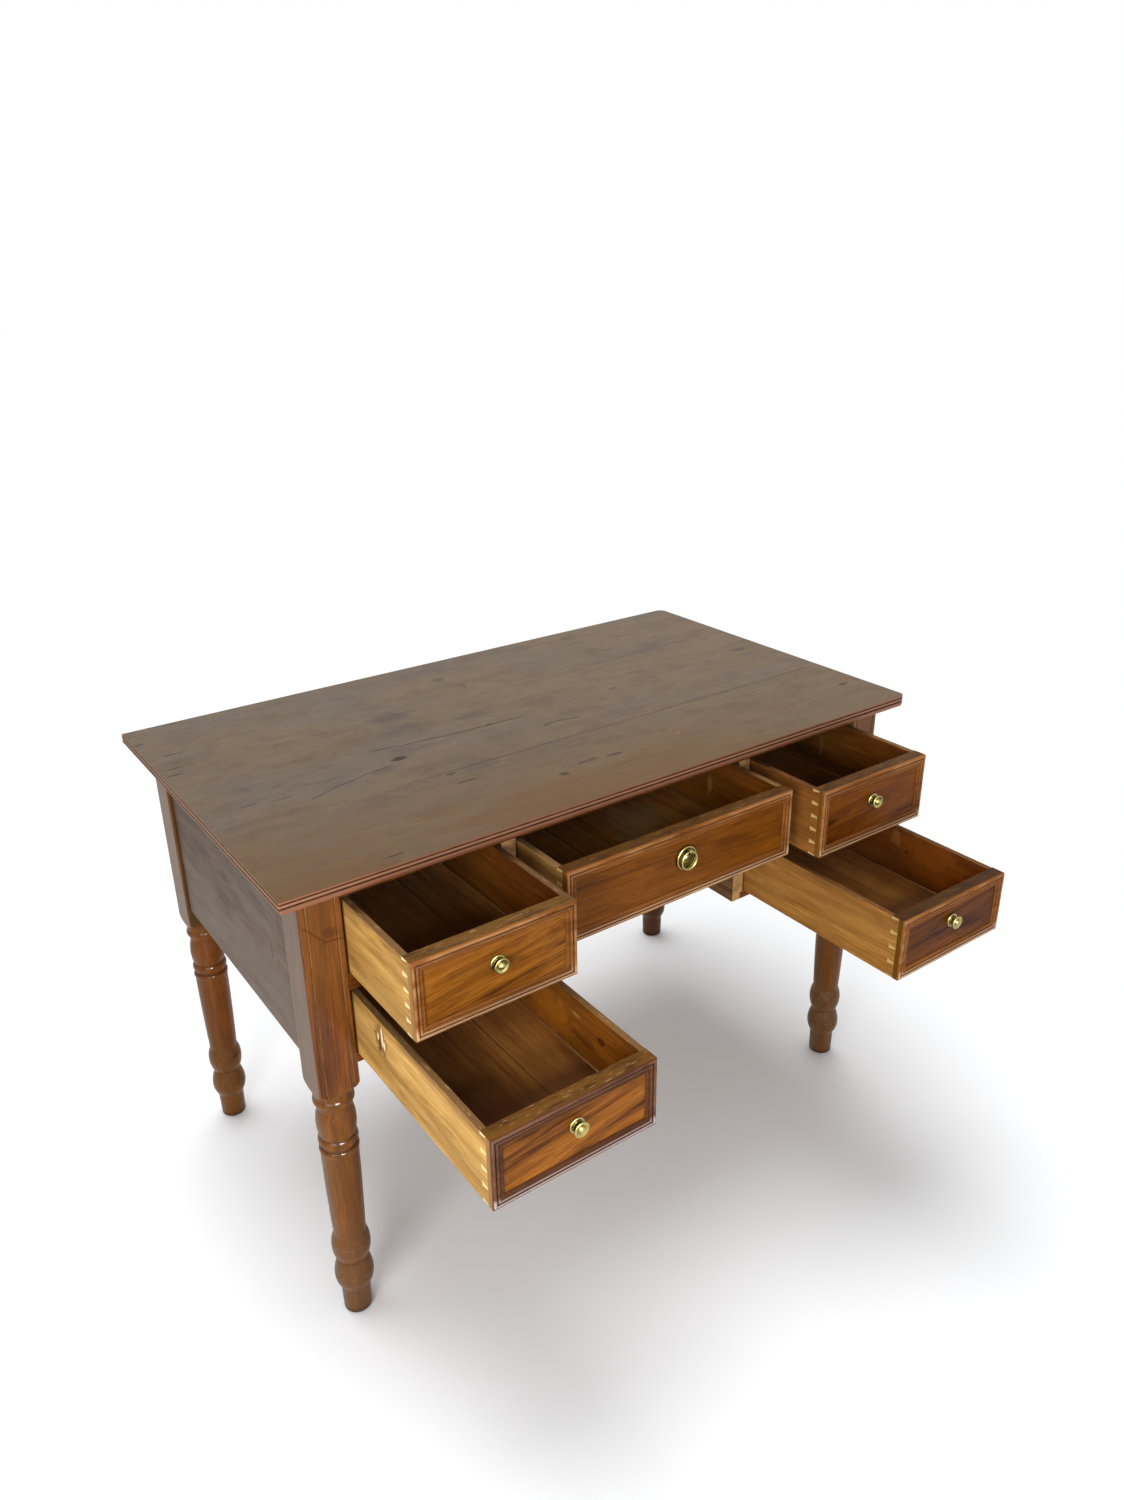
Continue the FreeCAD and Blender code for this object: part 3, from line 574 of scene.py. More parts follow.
# How far below the top face lie the painted highlight on one crest of the moulding and the painted
# shade in its two quirks.
upper_quirk = 3.1
upper_crest = 6.0
lower_quirk = 8.9
reed_half = 0.9
quirk_shade = "#1e100a"
sleeve_front = {"From Min": 230, "From Max": 30, "To Max": 0.9}
sleeve_left = {"From Min": -100, "From Max": 450, "To Min": 1.0, "To Max": 0.4}


def sleeve_wear(tree, space, flat):
    """A mask of the front of the top, most of all on the left, where sleeves have rubbed it."""
    aside = add(tree, "SeparateXYZ", {0: flat}, take=0)
    back = add(tree, "SeparateXYZ", {0: flat}, take=1)
    front = add(tree, "MapRange", {"Value": back, **sleeve_front})
    left = add(tree, "MapRange", {"Value": aside, **sleeve_left})
    worn = patches(tree, space, (380, 90), (0.22, 0.56))
    worn = add(tree, "Math", {0: front, 1: worn}, operation="MULTIPLY")
    return add(tree, "Math", {0: worn, 1: left}, operation="MULTIPLY")


def top_history(tree, space):
    """Bleached and rubbed patches, dark pores, scratches, marks, edges redder from stain and a painted
    sheen, a painted crest highlight, painted shade in the quirks and on the left end, and a bare
    underside.
    """
    flat = flat_map(tree, 0, 1, (0, front_edge / MM))
    drop = add(tree, "Math", {0: top_face, 1: desk_axes(tree)[2]}, operation="SUBTRACT")
    dashes = patches(tree, space, (24, 3.2), (0.62, 0.68), 0.7)
    grouped = patches(tree, space, (200, 80), (0.45, 0.62))
    dashes = add(tree, "Math", {0: dashes, 1: grouped}, operation="MULTIPLY")
    swirl = patches(tree, space, (150, 60), (0.2, 0.8), detail=3.0)
    return [
        (patches(tree, space, (420, 150), (0.42, 0.66), 0.45), "#5d5552"),
        (patches(tree, space, (70, 45), (0.46, 0.66), 0.30, 6.0), "#453426"),
        (patches(tree, space, (34, 22), (0.54, 0.70), 0.22, 6.0), "#86694a"),
        (sleeve_wear(tree, space, flat), "#664722"),
        (dashes, "#35271d"),
        (level_lines(tree, swirl, 5, (0.90, 0.99), 0.22), "#2e2118"),
        *spots(tree, flat, stains, "#3e3634", soft_rim),
        *spots(tree, flat, orange_fleck, "#96642f"),
        *spots(tree, flat, knots, "#22140b"),
        *scratches(tree, flat, splits, "#22160e"),
        # Painted: a sheen on the edges (besides old stain), shade on the left end, a highlight on one
        # crest and shade in two quirks.
        (facing(tree, (0, 0, 1), 0.97, 0.80, 0.85), "#a86f52"),
        (facing(tree, (-1, 0, 0), 0.30, 0.80, 0.8), "#5e4630"),
        (band(tree, drop, upper_crest, reed_half, 0.6), "#b48a66"),
        (band(tree, drop, upper_quirk, reed_half, 0.85), quirk_shade),
        (band(tree, drop, lower_quirk, reed_half, 0.85), quirk_shade),
        (facing(tree, (0, 0, -1), 0.80, 0.95, 0.8), "#7a5a3c"),
    ]


finishes = {"polished_top": wood("waxed_teak_top", along_x, teak_top, waxed, top_history)}
print("top made, its face", round(top_face), "mm up")

# %% [markdown]
# ## End panels and back
# The ends are wide teak boards with the same wax as the top, though duller. In places the wax has
# bloomed, and these grey clouds hide part of the figure. A few dark scuffs come from being carried
# about. The back is the same wood with its grain from side to side.

# %% Teak panels
teak_panel = {
    "pale": "#6c5440", "deep": "#543f2e", "vein": "#33241c", "worn": "#a57e58", "grime_and_shade": "#24140d",
    "figure_mm": (700, 50), "levels": 6, "figure": 0.6, "veins": 0.45, "rings": 0.35, "tone": 0.5,
    "fibre": 0.45, "pores": 0.35, "shade_and_dirt": 0.7, "reach_mm": 6, "rub": 0.9, "edge_mm": 1.5,
    "roughness": 0.46,
}
scuffs = {
    "long_scuff": (478, 555, 16, 3, 0.65),
    "scuff": (397, 548, 12, 3, 0.5),
    "front_scuff": (126, 650, 8, 22, 0.4),
    "low_scuff": (167, 592, 7, 20, 0.4),
    "nick": (146, 581, 5, 12, 0.4),
}


def panel_history(tree, space):
    """Grey clouds where the wax has bloomed, and scuffs."""
    flat = flat_map(tree, 1, 2, (front_edge / MM, 0))
    clouds = patches(tree, space, (240, 120), (0.42, 0.62), 0.6)
    return [(clouds, "#675a4c"), *spots(tree, flat, scuffs, "#2f241d")]


finishes["panel_wood"] = wood("waxed_teak_panel", along_y, teak_panel, waxed, panel_history)
own_finish = {"back_panel": wood("waxed_teak_back", along_x, teak_panel, waxed, panel_history)}
print("panels scuffed in", len(scuffs), "places")

# %% [markdown]
# ## Legs and rails
# The legs are turned from solid teak and finished with shellac on the lathe, so they are the warmest
# and glossiest wood on the desk: golden brown on the turning and redder on the square block above
# it, with darker clouds along the grain and small glints on the beads. The grooves of the turning
# get black lines of painted shade. Faces that look left or right get a painted grey sheen, and the
# quirks beside the front legs' corner beads get painted pale light over their shade. The feet are
# dull from mops. The front left leg was once mended, and the glue line shows as a bent dark line
# below the top.

# %% Teak of the legs, and the mend
teak_leg = {
    "pale": "#9a5814", "deep": "#6a380a", "vein": "#3a1e08", "worn": "#c08a50", "grime_and_shade": "#3c1f0c",
    "figure_mm": (420, 20), "levels": 5, "figure": 0.6, "veins": 0.55, "rings": 0.50, "tone": 0.6,
    "fibre": 0.80, "pores": 0.65, "shade_and_dirt": 0.0, "reach_mm": 3, "rub": 0.8, "edge_mm": 1.4,
    "roughness": 0.36,
}
leg_low, leg_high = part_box("leg_front_left")
leg_left = leg_low.x / MM
mend_lines = {
    "mend_slope": ((leg_left + 4, 694), (leg_left + 35, 662), 0, 6, 1.5),
    "mend_level": ((leg_left + 28, 663), (leg_left + 64, 661), 0, 6, 1.5),
}
mend_shade = {
    "mend_shade": (leg_left + 43, 674, 18, 11, 0.6),
    "small_knot": (leg_left + 25, 528, 9, 4, 0.5),
}
print("legs", round((leg_high.z - leg_low.z) / MM), "mm tall")

# %% Legs and rails
block_below_panel = 30
block_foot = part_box("side_panel_left")[0].z / MM - block_below_panel
shoulder = {"From Min": block_foot, "From Max": block_foot - 10}
sunned_rise = {"From Min": block_foot + 60, "From Max": block_foot + 200}
mopped_rise = {"From Min": 200, "From Max": 110, "To Max": 0.35}
leg_middle = (leg_low.y + leg_high.y) / 2 / MM
front_pair = {"From Min": leg_middle, "From Max": leg_middle - 5}
golden_depth = 0.45
groove_reach_mm = 14
quirk_reach_mm = 4
square_face = (0.80, 0.98)


def leg_history(tree, space):
    """Painted grey sheen on faces looking left or right, bloomed fronts of the rear blocks, golden
    turning with painted shade in its grooves, painted light in the front quirks, dull feet and the
    mended place.
    """
    flat = flat_map(tree, 0, 2, (0, 0))
    back, rise = desk_axes(tree)[1:]
    near = add(tree, "MapRange", {"Value": back, **front_pair})
    turned = add(tree, "MapRange", {"Value": rise, **shoulder})
    golden = add(tree, "Math", {0: turned, 1: golden_depth}, operation="MULTIPLY")
    block = add(tree, "Math", {0: 1.0, 1: turned}, operation="SUBTRACT")
    quirked = add(tree, "Math", {0: near, 1: block}, operation="MULTIPLY")
    rear = add(tree, "Math", {0: block, 1: quirked}, operation="SUBTRACT")
    upper = add(tree, "MapRange", {"Value": rise, **sunned_rise})
    mopped = add(tree, "MapRange", {"Value": rise, **mopped_rise})
    sunned = facing(tree, (0, -1, 0), *square_face, 0.4)
    bloomed = facing(tree, (0, -1, 0), *square_face, 0.9)
    return [
        # Painted grey sheen on faces that look left or right; further down, painted pale light over
        # the shade in the front legs' quirks, and painted shade in the turning's grooves.
        (facing(tree, (-1, 0, 0), *square_face, 0.75), "#564229"),
        (facing(tree, (1, 0, 0), *square_face, 0.75), "#564229"),
        *within(tree, upper, [(sunned, "#9c6636")]),
        *within(tree, rear, [(bloomed, "#4e3a24")]),
        *within(tree, quirked, [(grime_and_shade(tree, quirk_reach_mm, 0.5), "#b07c44")]),
        (golden, "#73460a"),
        (mopped, "#6a5038"),
        *within(tree, turned, [(grime_and_shade(tree, groove_reach_mm, 1.0), "#221004")]),
        *within(tree, near, spots(tree, flat, mend_shade, "#5a2f16", soft_rim)),
        *within(tree, near, scratches(tree, flat, mend_lines, "#5c3214")),
    ]


finishes["turned_leg_wood"] = wood(
    "lathe_polished_teak_leg", along_z, teak_leg, lathe_polished, leg_history
)
finishes["rail_wood"] = wood("shellacked_teak_rail", along_x, teak_leg, shellacked)
print("legs turned below", round(block_foot), "mm")

# %% [markdown]
# ## Rough wood inside
# Runners, kickers and stops were left as they came from the saw: paler, dusty and quite without
# polish. Only the front edges of the inner panels show, and these are lighter still.

# %% Sawn teak
sawn_teak = {
    "pale": "#8a6640", "deep": "#6d4c2d", "vein": "#4d3320", "worn": "#a58255", "grime_and_shade": "#3a2514",
    "figure_mm": (420, 30), "levels": 6, "figure": 0.6, "veins": 0.4, "rings": 0.3, "tone": 0.6,
    "fibre": 0.45, "pores": 0.3, "shade_and_dirt": 0.6, "reach_mm": 5, "rub": 0.5, "edge_mm": 0.8,
    "roughness": 0.72,
}


def sawn_history(tree, space):
    """Lighter front edges, with brown smears."""
    smears = patches(tree, space, (40, 22), (0.48, 0.62), 0.5)
    return [
        (facing(tree, (0, -1, 0), 0.7, 0.95, 0.75), "#d4a466"),
        (smears, "#5e4026"),
    ]


finishes["rough_wood"] = wood("sawn_teak_frame", along_y, sawn_teak, bare, sawn_history)
print("rough wood made")

# %% [markdown]
# ## Drawer fronts
# The fronts are walnut, chosen for its figure: orange brown with dark veins that climb to the right.
# The level lines of the recipe give such veins once the grain is tilted and the hills are long. A
# front's other faces are plain: grey brown on top from handling, olive at the ends, and pale where
# the end grain of the dovetail pins shows behind the lap. The centre drawer's long front is a plainer
# cut of the same wood. Some fronts get a dark tint later, and the pins should take only part of it,
# so a share of their colour is first divided by that tint.

# %% Walnut
walnut = {
    "pale": "#c27b28", "deep": "#985a18", "vein": "#3e220c", "worn": "#b98450", "grime_and_shade": "#2c170a",
    "figure_mm": (320, 28), "levels": 6, "figure": 0.75, "veins": 0.7, "rings": 0.5, "tone": 0.45,
    "fibre": 0.45, "pores": 0.35, "shade_and_dirt": 0.6, "reach_mm": 4, "rub": 0.6, "edge_mm": 0.8,
    "roughness": 0.34,
}
plain_walnut = {
    **walnut, "figure_mm": (260, 40), "figure": 0.45, "veins": 0.3, "rings": 0.3, "tone": 0.4,
}
figure_climb = (0, math.radians(7), 0)
pale_scuffs = {"size_mm": (22, 3.5), "limits": (0.58, 0.68)}
dark_smears = {"size_mm": (46, 12), "limits": (0.48, 0.64)}


def on_upper_edge(tree, space, marks):
    """A mask of marks on the upper edges, left by hands and by what was laid down there."""
    mark = patches(tree, space, **marks, strength=0.6)
    upper = facing(tree, (0, 0, 1), 0.7, 0.95)
    return add(tree, "Math", {0: mark, 1: upper}, operation="MULTIPLY")


print("figure climbs", round(math.degrees(figure_climb[1])), "degrees")

# %% Walnut fronts
behind_lap = {"From Min": 0.38, "From Max": 0.42}
pin_colour = "#e6cc94"
pin_share = 0.4


def front_faces(tree, space):
    """Stain on the inner face, a handled upper edge, olive ends and pale pins of end grain."""
    behind = add(tree, "MapRange", {"Value": box_axes(tree)[1], **behind_lap})
    tint = add(tree, "ObjectInfo", {}, take="Color")
    untinted = add(tree, "VectorMath", {0: linear(pin_colour)[:3], 1: tint}, operation="DIVIDE")
    layers = [
        (facing(tree, (0, 1, 0), 0.7, 0.9, 0.8), "#7c481e"),
        (facing(tree, (0, 0, 1), 0.7, 0.95, 0.9), "#644519"),
        (on_upper_edge(tree, space, dark_smears), "#38230f"),
        (on_upper_edge(tree, space, pale_scuffs), "#a8845c"),
    ]
    for side in (-1, 1):
        end = facing(tree, (side, 0, 0), 0.8, 0.95)
        pins = add(tree, "Math", {0: behind, 1: end}, operation="MULTIPLY")
        share = add(tree, "Math", {0: pins, 1: pin_share}, operation="MULTIPLY")
        layers += [(end, "#8f6c3a"), (pins, pin_colour), (share, untinted)]
    return layers


finishes["drawer_front_wood"] = wood(
    "figured_walnut_front", figure_climb, walnut, shellacked, front_faces
)
own_finish["centre_drawer_front"] = wood(
    "plain_walnut_front", along_x, plain_walnut, shellacked, front_faces
)
print("fronts figured, and plain on the centre drawer")

# %% [markdown]
# ## Bead frames
# Each front is framed by a thin reeded moulding, mitred at the corners. It is the first thing that
# passing hands and sleeves touch, so the crests of the reeds are rubbed pale, and that pale also
# stands in for a painted highlight, while the quirks stay dark with dust and painted shade. The
# crests are found by how far they stand forward in the frame's own depth. Along the lower rail the
# crests carry whitish lines of painted reflection. The lower left drawer's frame is darker than the
# others, with whitish painted reflections along its lower rail.

# %% Reeded beads
bead = {
    "pale": "#a8672a", "deep": "#884d18", "vein": "#4c2a14", "worn": "#d8a878", "grime_and_shade": "#2a1408",
    "figure_mm": (220, 14), "levels": 5, "figure": 0.5, "veins": 0.3, "rings": 0.2, "tone": 0.5,
    "fibre": 0.35, "pores": 0.3, "shade_and_dirt": 0.6, "reach_mm": 3, "rub": 0.7, "edge_mm": 0.5,
    "roughness": 0.34,
}
dark_bead = {**bead, "pale": "#744624", "deep": "#583218", "worn": "#b08a70"}
crest_depth = {"From Min": 0.34, "From Max": 0.10}
lower_rail = {"From Min": 0.16, "From Max": 0.10}
rail_inset = {"From Min": 0.02, "From Max": 0.04}


def worn_and_highlit_crests(crest_colour, rail_reflection_colour, rail_reflection_share):
    """The history of a bead frame: pale crests on its reeds, worn and partly a painted highlight, with
    a painted reflection along the lower rail.
    """
    def layers(tree, space):
        depth, rise = box_axes(tree)[1:]
        # The pale crests are wear and partly a painted highlight; along the lower rail they carry a
        # painted reflection.
        crest = add(tree, "MapRange", {"Value": depth, **crest_depth})
        worn = patches(tree, space, (55, 20), (0.34, 0.66), 0.6)
        worn = add(tree, "Math", {0: crest, 1: worn}, operation="MULTIPLY")
        lower = add(tree, "MapRange", {"Value": rise, **lower_rail, "To Max": rail_reflection_share})
        inset = add(tree, "MapRange", {"Value": rise, **rail_inset})
        lower = add(tree, "Math", {0: lower, 1: inset}, operation="MULTIPLY")
        lower = add(tree, "Math", {0: lower, 1: crest}, operation="MULTIPLY")
        return [(worn, crest_colour), (lower, rail_reflection_colour)]
    return layers


finishes["bead_wood"] = wood(
    "shellacked_reeded_bead", along_x, bead, shellacked, worn_and_highlit_crests("#cc9c6c", "#e0bc98", 0.7)
)
own_finish["lower_left_drawer_bead"] = wood(
    "dark_reeded_bead", along_x, dark_bead, shellacked, worn_and_highlit_crests("#8e6a58", "#cdbab4", 0.85)
)
print("bead frames made, one of them dark")

# %% [markdown]
# ## Drawer boxes
# The boxes are pine, never polished. Outside it has gone a deep honey colour with broad soft figure,
# darkest along the upper edges where fingers go. Inside, a brown wash has turned it the colour of
# strong tea, with a few amber, dark and pale places, and painted shade darkens the inside towards the
# front. One material per side can tell its two faces apart by which way they look. The lower left
# drawer has a torn knot outside.

# %% Pine and its marks
pine = {
    "pale": "#d6a95e", "deep": "#b98a42", "vein": "#8f642c", "worn": "#dcb880", "grime_and_shade": "#4a3017",
    "figure_mm": (420, 34), "levels": 6, "figure": 0.7, "veins": 0.4, "rings": 0.35, "tone": 0.5,
    "fibre": 0.35, "pores": 0.2, "shade_and_dirt": 0.6, "reach_mm": 4, "rub": 0.6, "edge_mm": 0.8,
    "roughness": 0.55,
}
torn_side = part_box("lower_left_drawer_left_side")[0]
torn_back = (torn_side.y / MM) + 255
torn_rise = (torn_side.z / MM) + 70
torn_knot = {
    "bruise": (torn_back, torn_rise, 20, 26, 0.55),
    "hole": (torn_back + 3, torn_rise - 8, 4, 14, 0.9),
}
splinters = {
    "long_splinter": (torn_back - 4, torn_rise + 6, 3, 16, 0.95),
    "splinter": (torn_back - 9, torn_rise - 4, 3, 10, 0.9),
    "short_splinter": (torn_back + 7, torn_rise + 2, 2.5, 8, 0.8),
}
side_marks = {
    "left": {
        "dark": {"knot": (-375, 538, 9, 8, 0.8), "dark_run": (-330, 520, 40, 10, 0.4)},
        "pale": {"pale_streak": (-321, 548, 12, 5, 0.5)},
        "amber": {"back_amber": (-262, 520, 62, 36, 0.26)},
    },
    "right": {
        "dark": {"knot": (-282, 536, 5, 4, 0.7)},
        "pale": {"pale_patch": (-258, 552, 12, 20, 0.55), "upper_patch": (-79, 662, 7, 20, 0.6)},
        "amber": {"amber": (-330, 548, 66, 40, 0.18)},
    },
}
print("torn knot", round(torn_rise), "mm up")

# %% Places on the sides
middle_rim = 20
half_limits = {
    "left": {"From Min": middle_rim, "From Max": -middle_rim},
    "right": {"From Min": -middle_rim, "From Max": middle_rim},
}


def desk_half(tree, hand):
    """A mask of the left or the right half of the desk."""
    return add(tree, "MapRange", {"Value": desk_axes(tree)[0], **half_limits[hand]})


def torn_place(tree, flat, outside):
    """The torn knot and its pale splinters, outside on the left."""
    face = add(tree, "Math", {0: outside, 1: desk_half(tree, "left")}, operation="MULTIPLY")
    marks = spots(tree, flat, torn_knot, "#4a2c14") + spots(tree, flat, splinters, "#f4dcae")
    return within(tree, face, marks)


def inner_marks(tree, flat, inside):
    """Amber, dark and pale places inside the drawers of each half."""
    layers = []
    for hand, kinds in side_marks.items():
        area = add(tree, "Math", {0: inside, 1: desk_half(tree, hand)}, operation="MULTIPLY")
        marks = spots(tree, flat, kinds["amber"], "#f09024", soft_rim)
        marks += spots(tree, flat, kinds["dark"], "#3c200e")
        marks += spots(tree, flat, kinds["pale"], "#c08c4c", soft_rim)
        layers += within(tree, area, marks)
    return layers


print("places ready for both halves of the desk")

# %% Pine sides and backs
wash = "#cc9e5c"
back_wash = "#ffdc94"
painted_shade_colour = "#381808"
wash_turns = {"From Min": 0.20, "From Max": 0.70}
# Painted shade: where the inside of a side darkens towards the front, and how deeply.
front_shade_ramp = {"From Min": 0.34, "From Max": 0.06}
front_shade_depth = 0.3
handled_rise = {"From Min": 0.80, "From Max": 0.99}


def side_history(inward):
    """The history of a drawer side: washed inside with painted shade towards its front, marked, and
    dark along its upper edge.
    """
    def layers(tree, space):
        flat = flat_map(tree, 1, 2, (0, 0))
        inside = facing(tree, inward, 0.7, 0.9)
        outside = add(tree, "Math", {0: 1.0, 1: inside}, operation="SUBTRACT")
        torn = torn_place(tree, flat, outside) if inward[0] > 0 else []
        back, rise = box_axes(tree)[1:]
        far = add(tree, "MapRange", {"Value": back, **wash_turns})
        tea = layered(tree, linear(wash), [(far, back_wash)])
        # Painted shade darkens the inside towards the front, as much as the piece's fourth colour
        # number says.
        dark = add(tree, "MapRange", {"Value": back, **front_shade_ramp})
        for share in (add(tree, "ObjectInfo", {}, take="Alpha"), inside, front_shade_depth):
            dark = add(tree, "Math", {0: dark, 1: share}, operation="MULTIPLY")
        handled = add(tree, "MapRange", {"Value": rise, **handled_rise})
        ragged = patches(tree, space, (70, 12), (0.34, 0.60), 0.75)
        handled = add(tree, "Math", {0: handled, 1: ragged}, operation="MULTIPLY")
        return [
            (patches(tree, space, (160, 60), (0.45, 0.66), 0.5), "#9c7a44"),
            (handled, "#7a5430"),
            *torn,
            (inside, tea, "MULTIPLY"),
            (dark, painted_shade_colour),
            *inner_marks(tree, flat, inside),
            (facing(tree, (0, 0, 1), 0.7, 0.95, 0.9), "#6e5030"),
            (on_upper_edge(tree, space, pale_scuffs), "#b8935e"),
        ]
    return layers


boxes = {
    "left_side": wood("old_pine_left_side", along_y, pine, bare, side_history((1, 0, 0))),
    "right_side": wood("old_pine_right_side", along_y, pine, bare, side_history((-1, 0, 0))),
    "back": wood("old_pine_back", along_x, pine, bare, side_history((0, -1, 0))),
}
print("pine made for", sorted(boxes))

# %% [markdown]
# ## Drawer bottoms
# A bottom is two or three thin pine boards that run from front to back. The same wash lies on them in
# streaks, and a painted shadow darkens them on the left and along the front. There is paler wood where
# things were slid in and out, a dark line at each joint between boards, a thread of pale dust in the
# corner along the right side, and more dust in the centre drawer. How far across the painted shadow
# reaches differs from drawer to drawer, so that number comes from each bottom itself, as the fourth of
# its object colour.

# %% Pine of the bottoms
washed_pine = {
    "pale": "#f6ac54", "deep": "#dc8c36", "vein": "#5e3414", "worn": "#a87844", "grime_and_shade": "#2a150a",
    "figure_mm": (520, 26), "levels": 6, "figure": 0.5, "veins": 0.25, "rings": 0.25, "tone": 0.5,
    "fibre": 0.35, "pores": 0.25, "shade_and_dirt": 0.3, "reach_mm": 5, "rub": 0.4, "edge_mm": 0.8,
    "roughness": 0.5,
}
bottom_board_width = 147.0
bottom_groove = 4.5
bottom_boxes = [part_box(name) for name in nodes if name.endswith("_bottom")]
joints = sorted({round(low.x / MM + bottom_board_width, 2) for low, high in bottom_boxes})
corners = sorted({round(high.x / MM - bottom_groove, 2) for low, high in bottom_boxes})
print(len(bottom_boxes), "bottoms made of", bottom_board_width, "mm boards")

# %% Pine bottoms
# The painted shadow: its soft rim and depth on the left, how it grows towards the front, and the
# darker line along the front edge.
shadow_rim = 0.18
shadow_depth = 0.85
shadow_front = {"From Min": 0.60, "From Max": 0.30}
front_shadow_line = {"From Min": 0.36, "From Max": 0.20, "To Max": 0.88}
dusty = {"dust": (80, -35, 60, 52, 0.5), "dust_2": (40, -75, 40, 20, 0.4)}
joint_half = 1.0
corner_half = 2.0


def bottom_history(tree, space):
    """Streaks of wash, a painted shadow on the left and along the front, joints between the boards,
    dust in corners and the centre drawer.
    """
    flat = flat_map(tree, 0, 1, (0, 0))
    across, back = box_axes(tree)[:2]
    # Painted shadow: dark on the left as far across as the piece's fourth colour number says, towards
    # the front, and along the front edge.
    reach = add(tree, "ObjectInfo", {}, take="Alpha")
    start = add(tree, "Math", {0: reach, 1: shadow_rim}, operation="ADD")
    full = add(tree, "Math", {0: reach, 1: shadow_rim}, operation="SUBTRACT")
    left = {"Value": across, "From Min": start, "From Max": full, "To Max": shadow_depth}
    front = add(tree, "MapRange", {"Value": back, **shadow_front})
    shadowed = add(tree, "Math", {0: add(tree, "MapRange", left), 1: front}, operation="MULTIPLY")
    edge = add(tree, "MapRange", {"Value": back, **front_shadow_line})
    layers = [
        (patches(tree, space, (160, 60), (0.42, 0.64), 0.3), "#8c5224"),
        (patches(tree, space, (240, 14), (0.52, 0.68), 0.35), "#eab468"),
        (patches(tree, space, (90, 70), (0.40, 0.70), 0.18), "#8c6430"),
        (shadowed, painted_shade_colour),
        (edge, painted_shade_colour),
        *spots(tree, flat, dusty, "#b49a70", soft_rim),
    ]
    along = desk_axes(tree)[0]
    for lines, colour, half in ((joints, "#2c170b", joint_half), (corners, "#d8b07c", corner_half)):
        for line in lines:
            layers.append((band(tree, along, line, half, 0.7), colour))
    return layers


finishes["drawer_bottom_wood"] = wood(
    "washed_pine_bottom", along_y, washed_pine, washed, bottom_history
)
print("bottoms lined at", len(joints), "joints and", len(corners), "corners")

# %% [markdown]
# ## Brass and steel
# The knobs and the ring pull are turned brass that a duster keeps bright on its high points. In the
# recesses it has gone brown and olive, most of all in the round field of the centre pull's plate, and
# the darkest layer in the recesses is partly painted shade. A metal has no colour under its shine, so
# the base colour is that of the reflection, and tarnish both darkens it and dulls it. The screws under
# the top are plain steel.

# %% The metal recipe
tarnish_spots = {"size_mm": (7, 7), "limits": (0.42, 0.66), "strength": 0.6}
metal_edge_mm = 0.4
recess_mm = 6.0
recess_depth = 0.95
bright_edge = 0.6
tarnish_gloss = 0.2
tarnish_relief = 0.1


def metal(name, bright, dull, dark, roughness, history=None):
    """A metal with patchy tarnish, darkest where a cloth can't reach, which is partly painted shade.
    """
    material, tree, surface = new_finish(name)
    space = board_space(tree, along_x)
    normal, edge = soft_edges(tree, metal_edge_mm)
    tarnish = patches(tree, space, **tarnish_spots)
    rubbed = add(tree, "Math", {0: edge, 1: bright_edge}, operation="MULTIPLY")
    layers = [
        (tarnish, dull),
        # Tarnish in the recesses, and partly painted shade there.
        (grime_and_shade(tree, recess_mm, recess_depth), dark),
        (rubbed, bright),
    ]
    if history:
        layers += history(tree)
    colour = layered(tree, linear(bright), layers)
    rough = {0: tarnish, 1: tarnish_gloss, 2: roughness}
    gloss = add(tree, "Math", rough, operation="MULTIPLY_ADD")
    relief = add(tree, "Math", {0: tarnish, 1: tarnish_relief}, operation="MULTIPLY")
    polish(tree, surface, colour, gloss, relief, normal, {"Metallic": 1.0})
    return material


print("metal recipe ready")

# %% Brass and steel
bright_brass = "#b0a264"
brass = (bright_brass, "#8e7e42", "#30260c", 0.30)
steel = ("#a8a6a2", "#77726c", "#3c3834", 0.4)
ring_low, ring_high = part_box("centre_drawer_pull_ring")
plate_field = 14.6
recess = {"From Min": plate_field + 0.6, "From Max": plate_field - 0.6, "To Max": 0.85}
boss_ring = 5.2


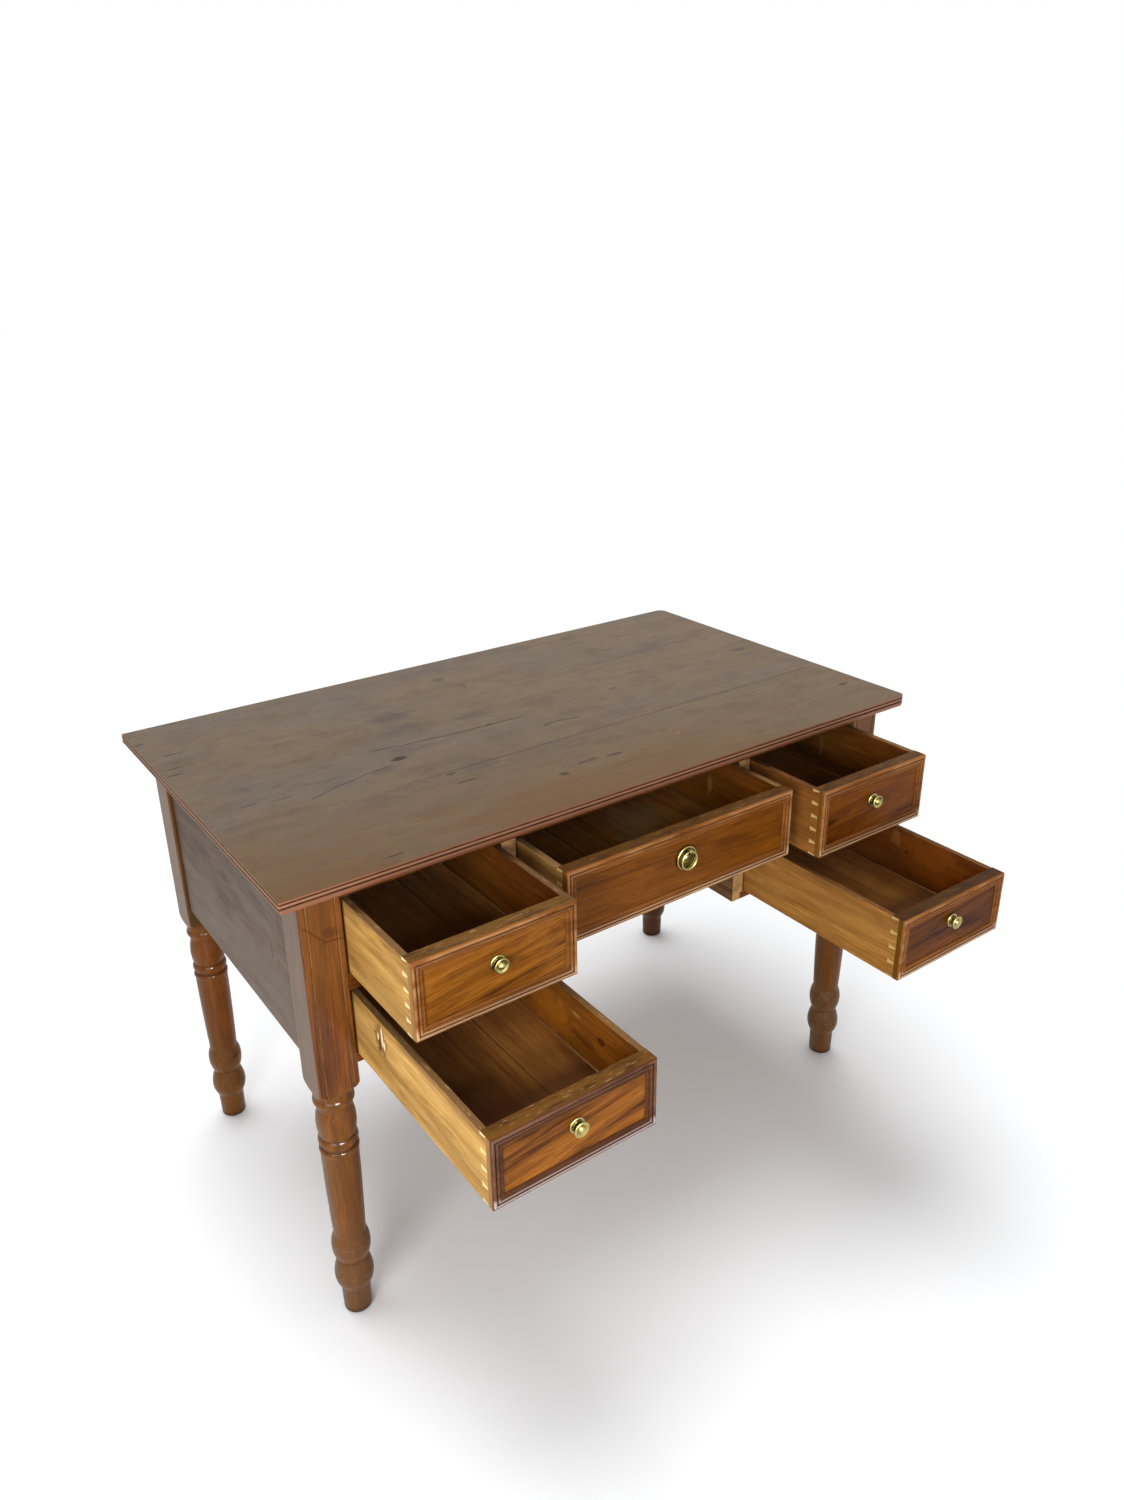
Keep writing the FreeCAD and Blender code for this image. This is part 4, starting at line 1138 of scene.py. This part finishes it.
def plate_history(tree):
    """The plate's recessed field, gone dark round its boss."""
    middle = (ring_low + ring_high) / 2 / MM
    flat = flat_map(tree, 0, 2, (middle.x, middle.z))
    away = add(tree, "VectorMath", {0: flat}, take="Value", operation="LENGTH")
    return [
        (add(tree, "MapRange", {"Value": away, **recess}), "#40340f"),
        (band(tree, away, boss_ring, 1.0, 0.7), bright_brass),
    ]


finishes["aged_brass"] = metal("aged_turned_brass", *brass)
own_finish["centre_drawer_pull_plate"] = metal("tarnished_brass_plate", *brass, plate_history)
finishes["screw_steel"] = metal("dull_screw_steel", *steel)
print("brass and steel made, the plate's field", 2 * plate_field, "mm across")

# %% [markdown]
# ## Dress the solids
# Each solid names the slot that its finish belongs to. Boards of one wood still differ in tone, so
# some pieces carry a tint in their object colour, which the recipe lays over everything else. Its
# fourth number is free. Here it says how far across its bottom a drawer's painted shadow reaches, and
# how much painted shade darkens the front of its sides. That costs no extra material, and both stay
# with the piece.

# %% Give each solid its finish
tints = {
    "lower_left_drawer_front": "#faf4f0",
    "centre_drawer_front": "#c9bb84",
    "upper_right_drawer_front": "#cdb570",
    "lower_right_drawer_front": "#b09a3a",
    "upper_right_drawer_left_side": "#d8b898",
    "leg_rear_left": "#fbec8e",
    "leg_rear_right": "#c8b078",
    "lower_right_drawer_left_side": "#f0dcc0",
    "upper_left_drawer_right_side": "#e1dae1",
    "lower_right_drawer_right_side": "#ead6c2",
}
# How far across each drawer's bottom the painted shadow reaches; it also sets the painted shade at the
# front of its sides.
painted_shadow_reach = {
    "upper_left": 1.0, "lower_left": 0.45, "centre": 0.3, "upper_right": 1.0, "lower_right": 0.35,
}
slot_of = {row["node"]: row["material_slot"] for row in frame["record"]["subparts"]}
for name, solid in nodes.items():
    finish = own_finish.get(name, finishes.get(slot_of[name]))
    if slot_of[name] == "drawer_side_wood":
        finish = boxes[name.split("_drawer_")[1]]
    reach = painted_shadow_reach.get(name.split("_drawer_")[0], 0.0)
    solid.color = linear(tints.get(name, "#ffffff"))[:3] + [reach]
    solid.data.materials.clear()
    solid.data.materials.append(finish)
print("dressed", len(slot_of), "solids")
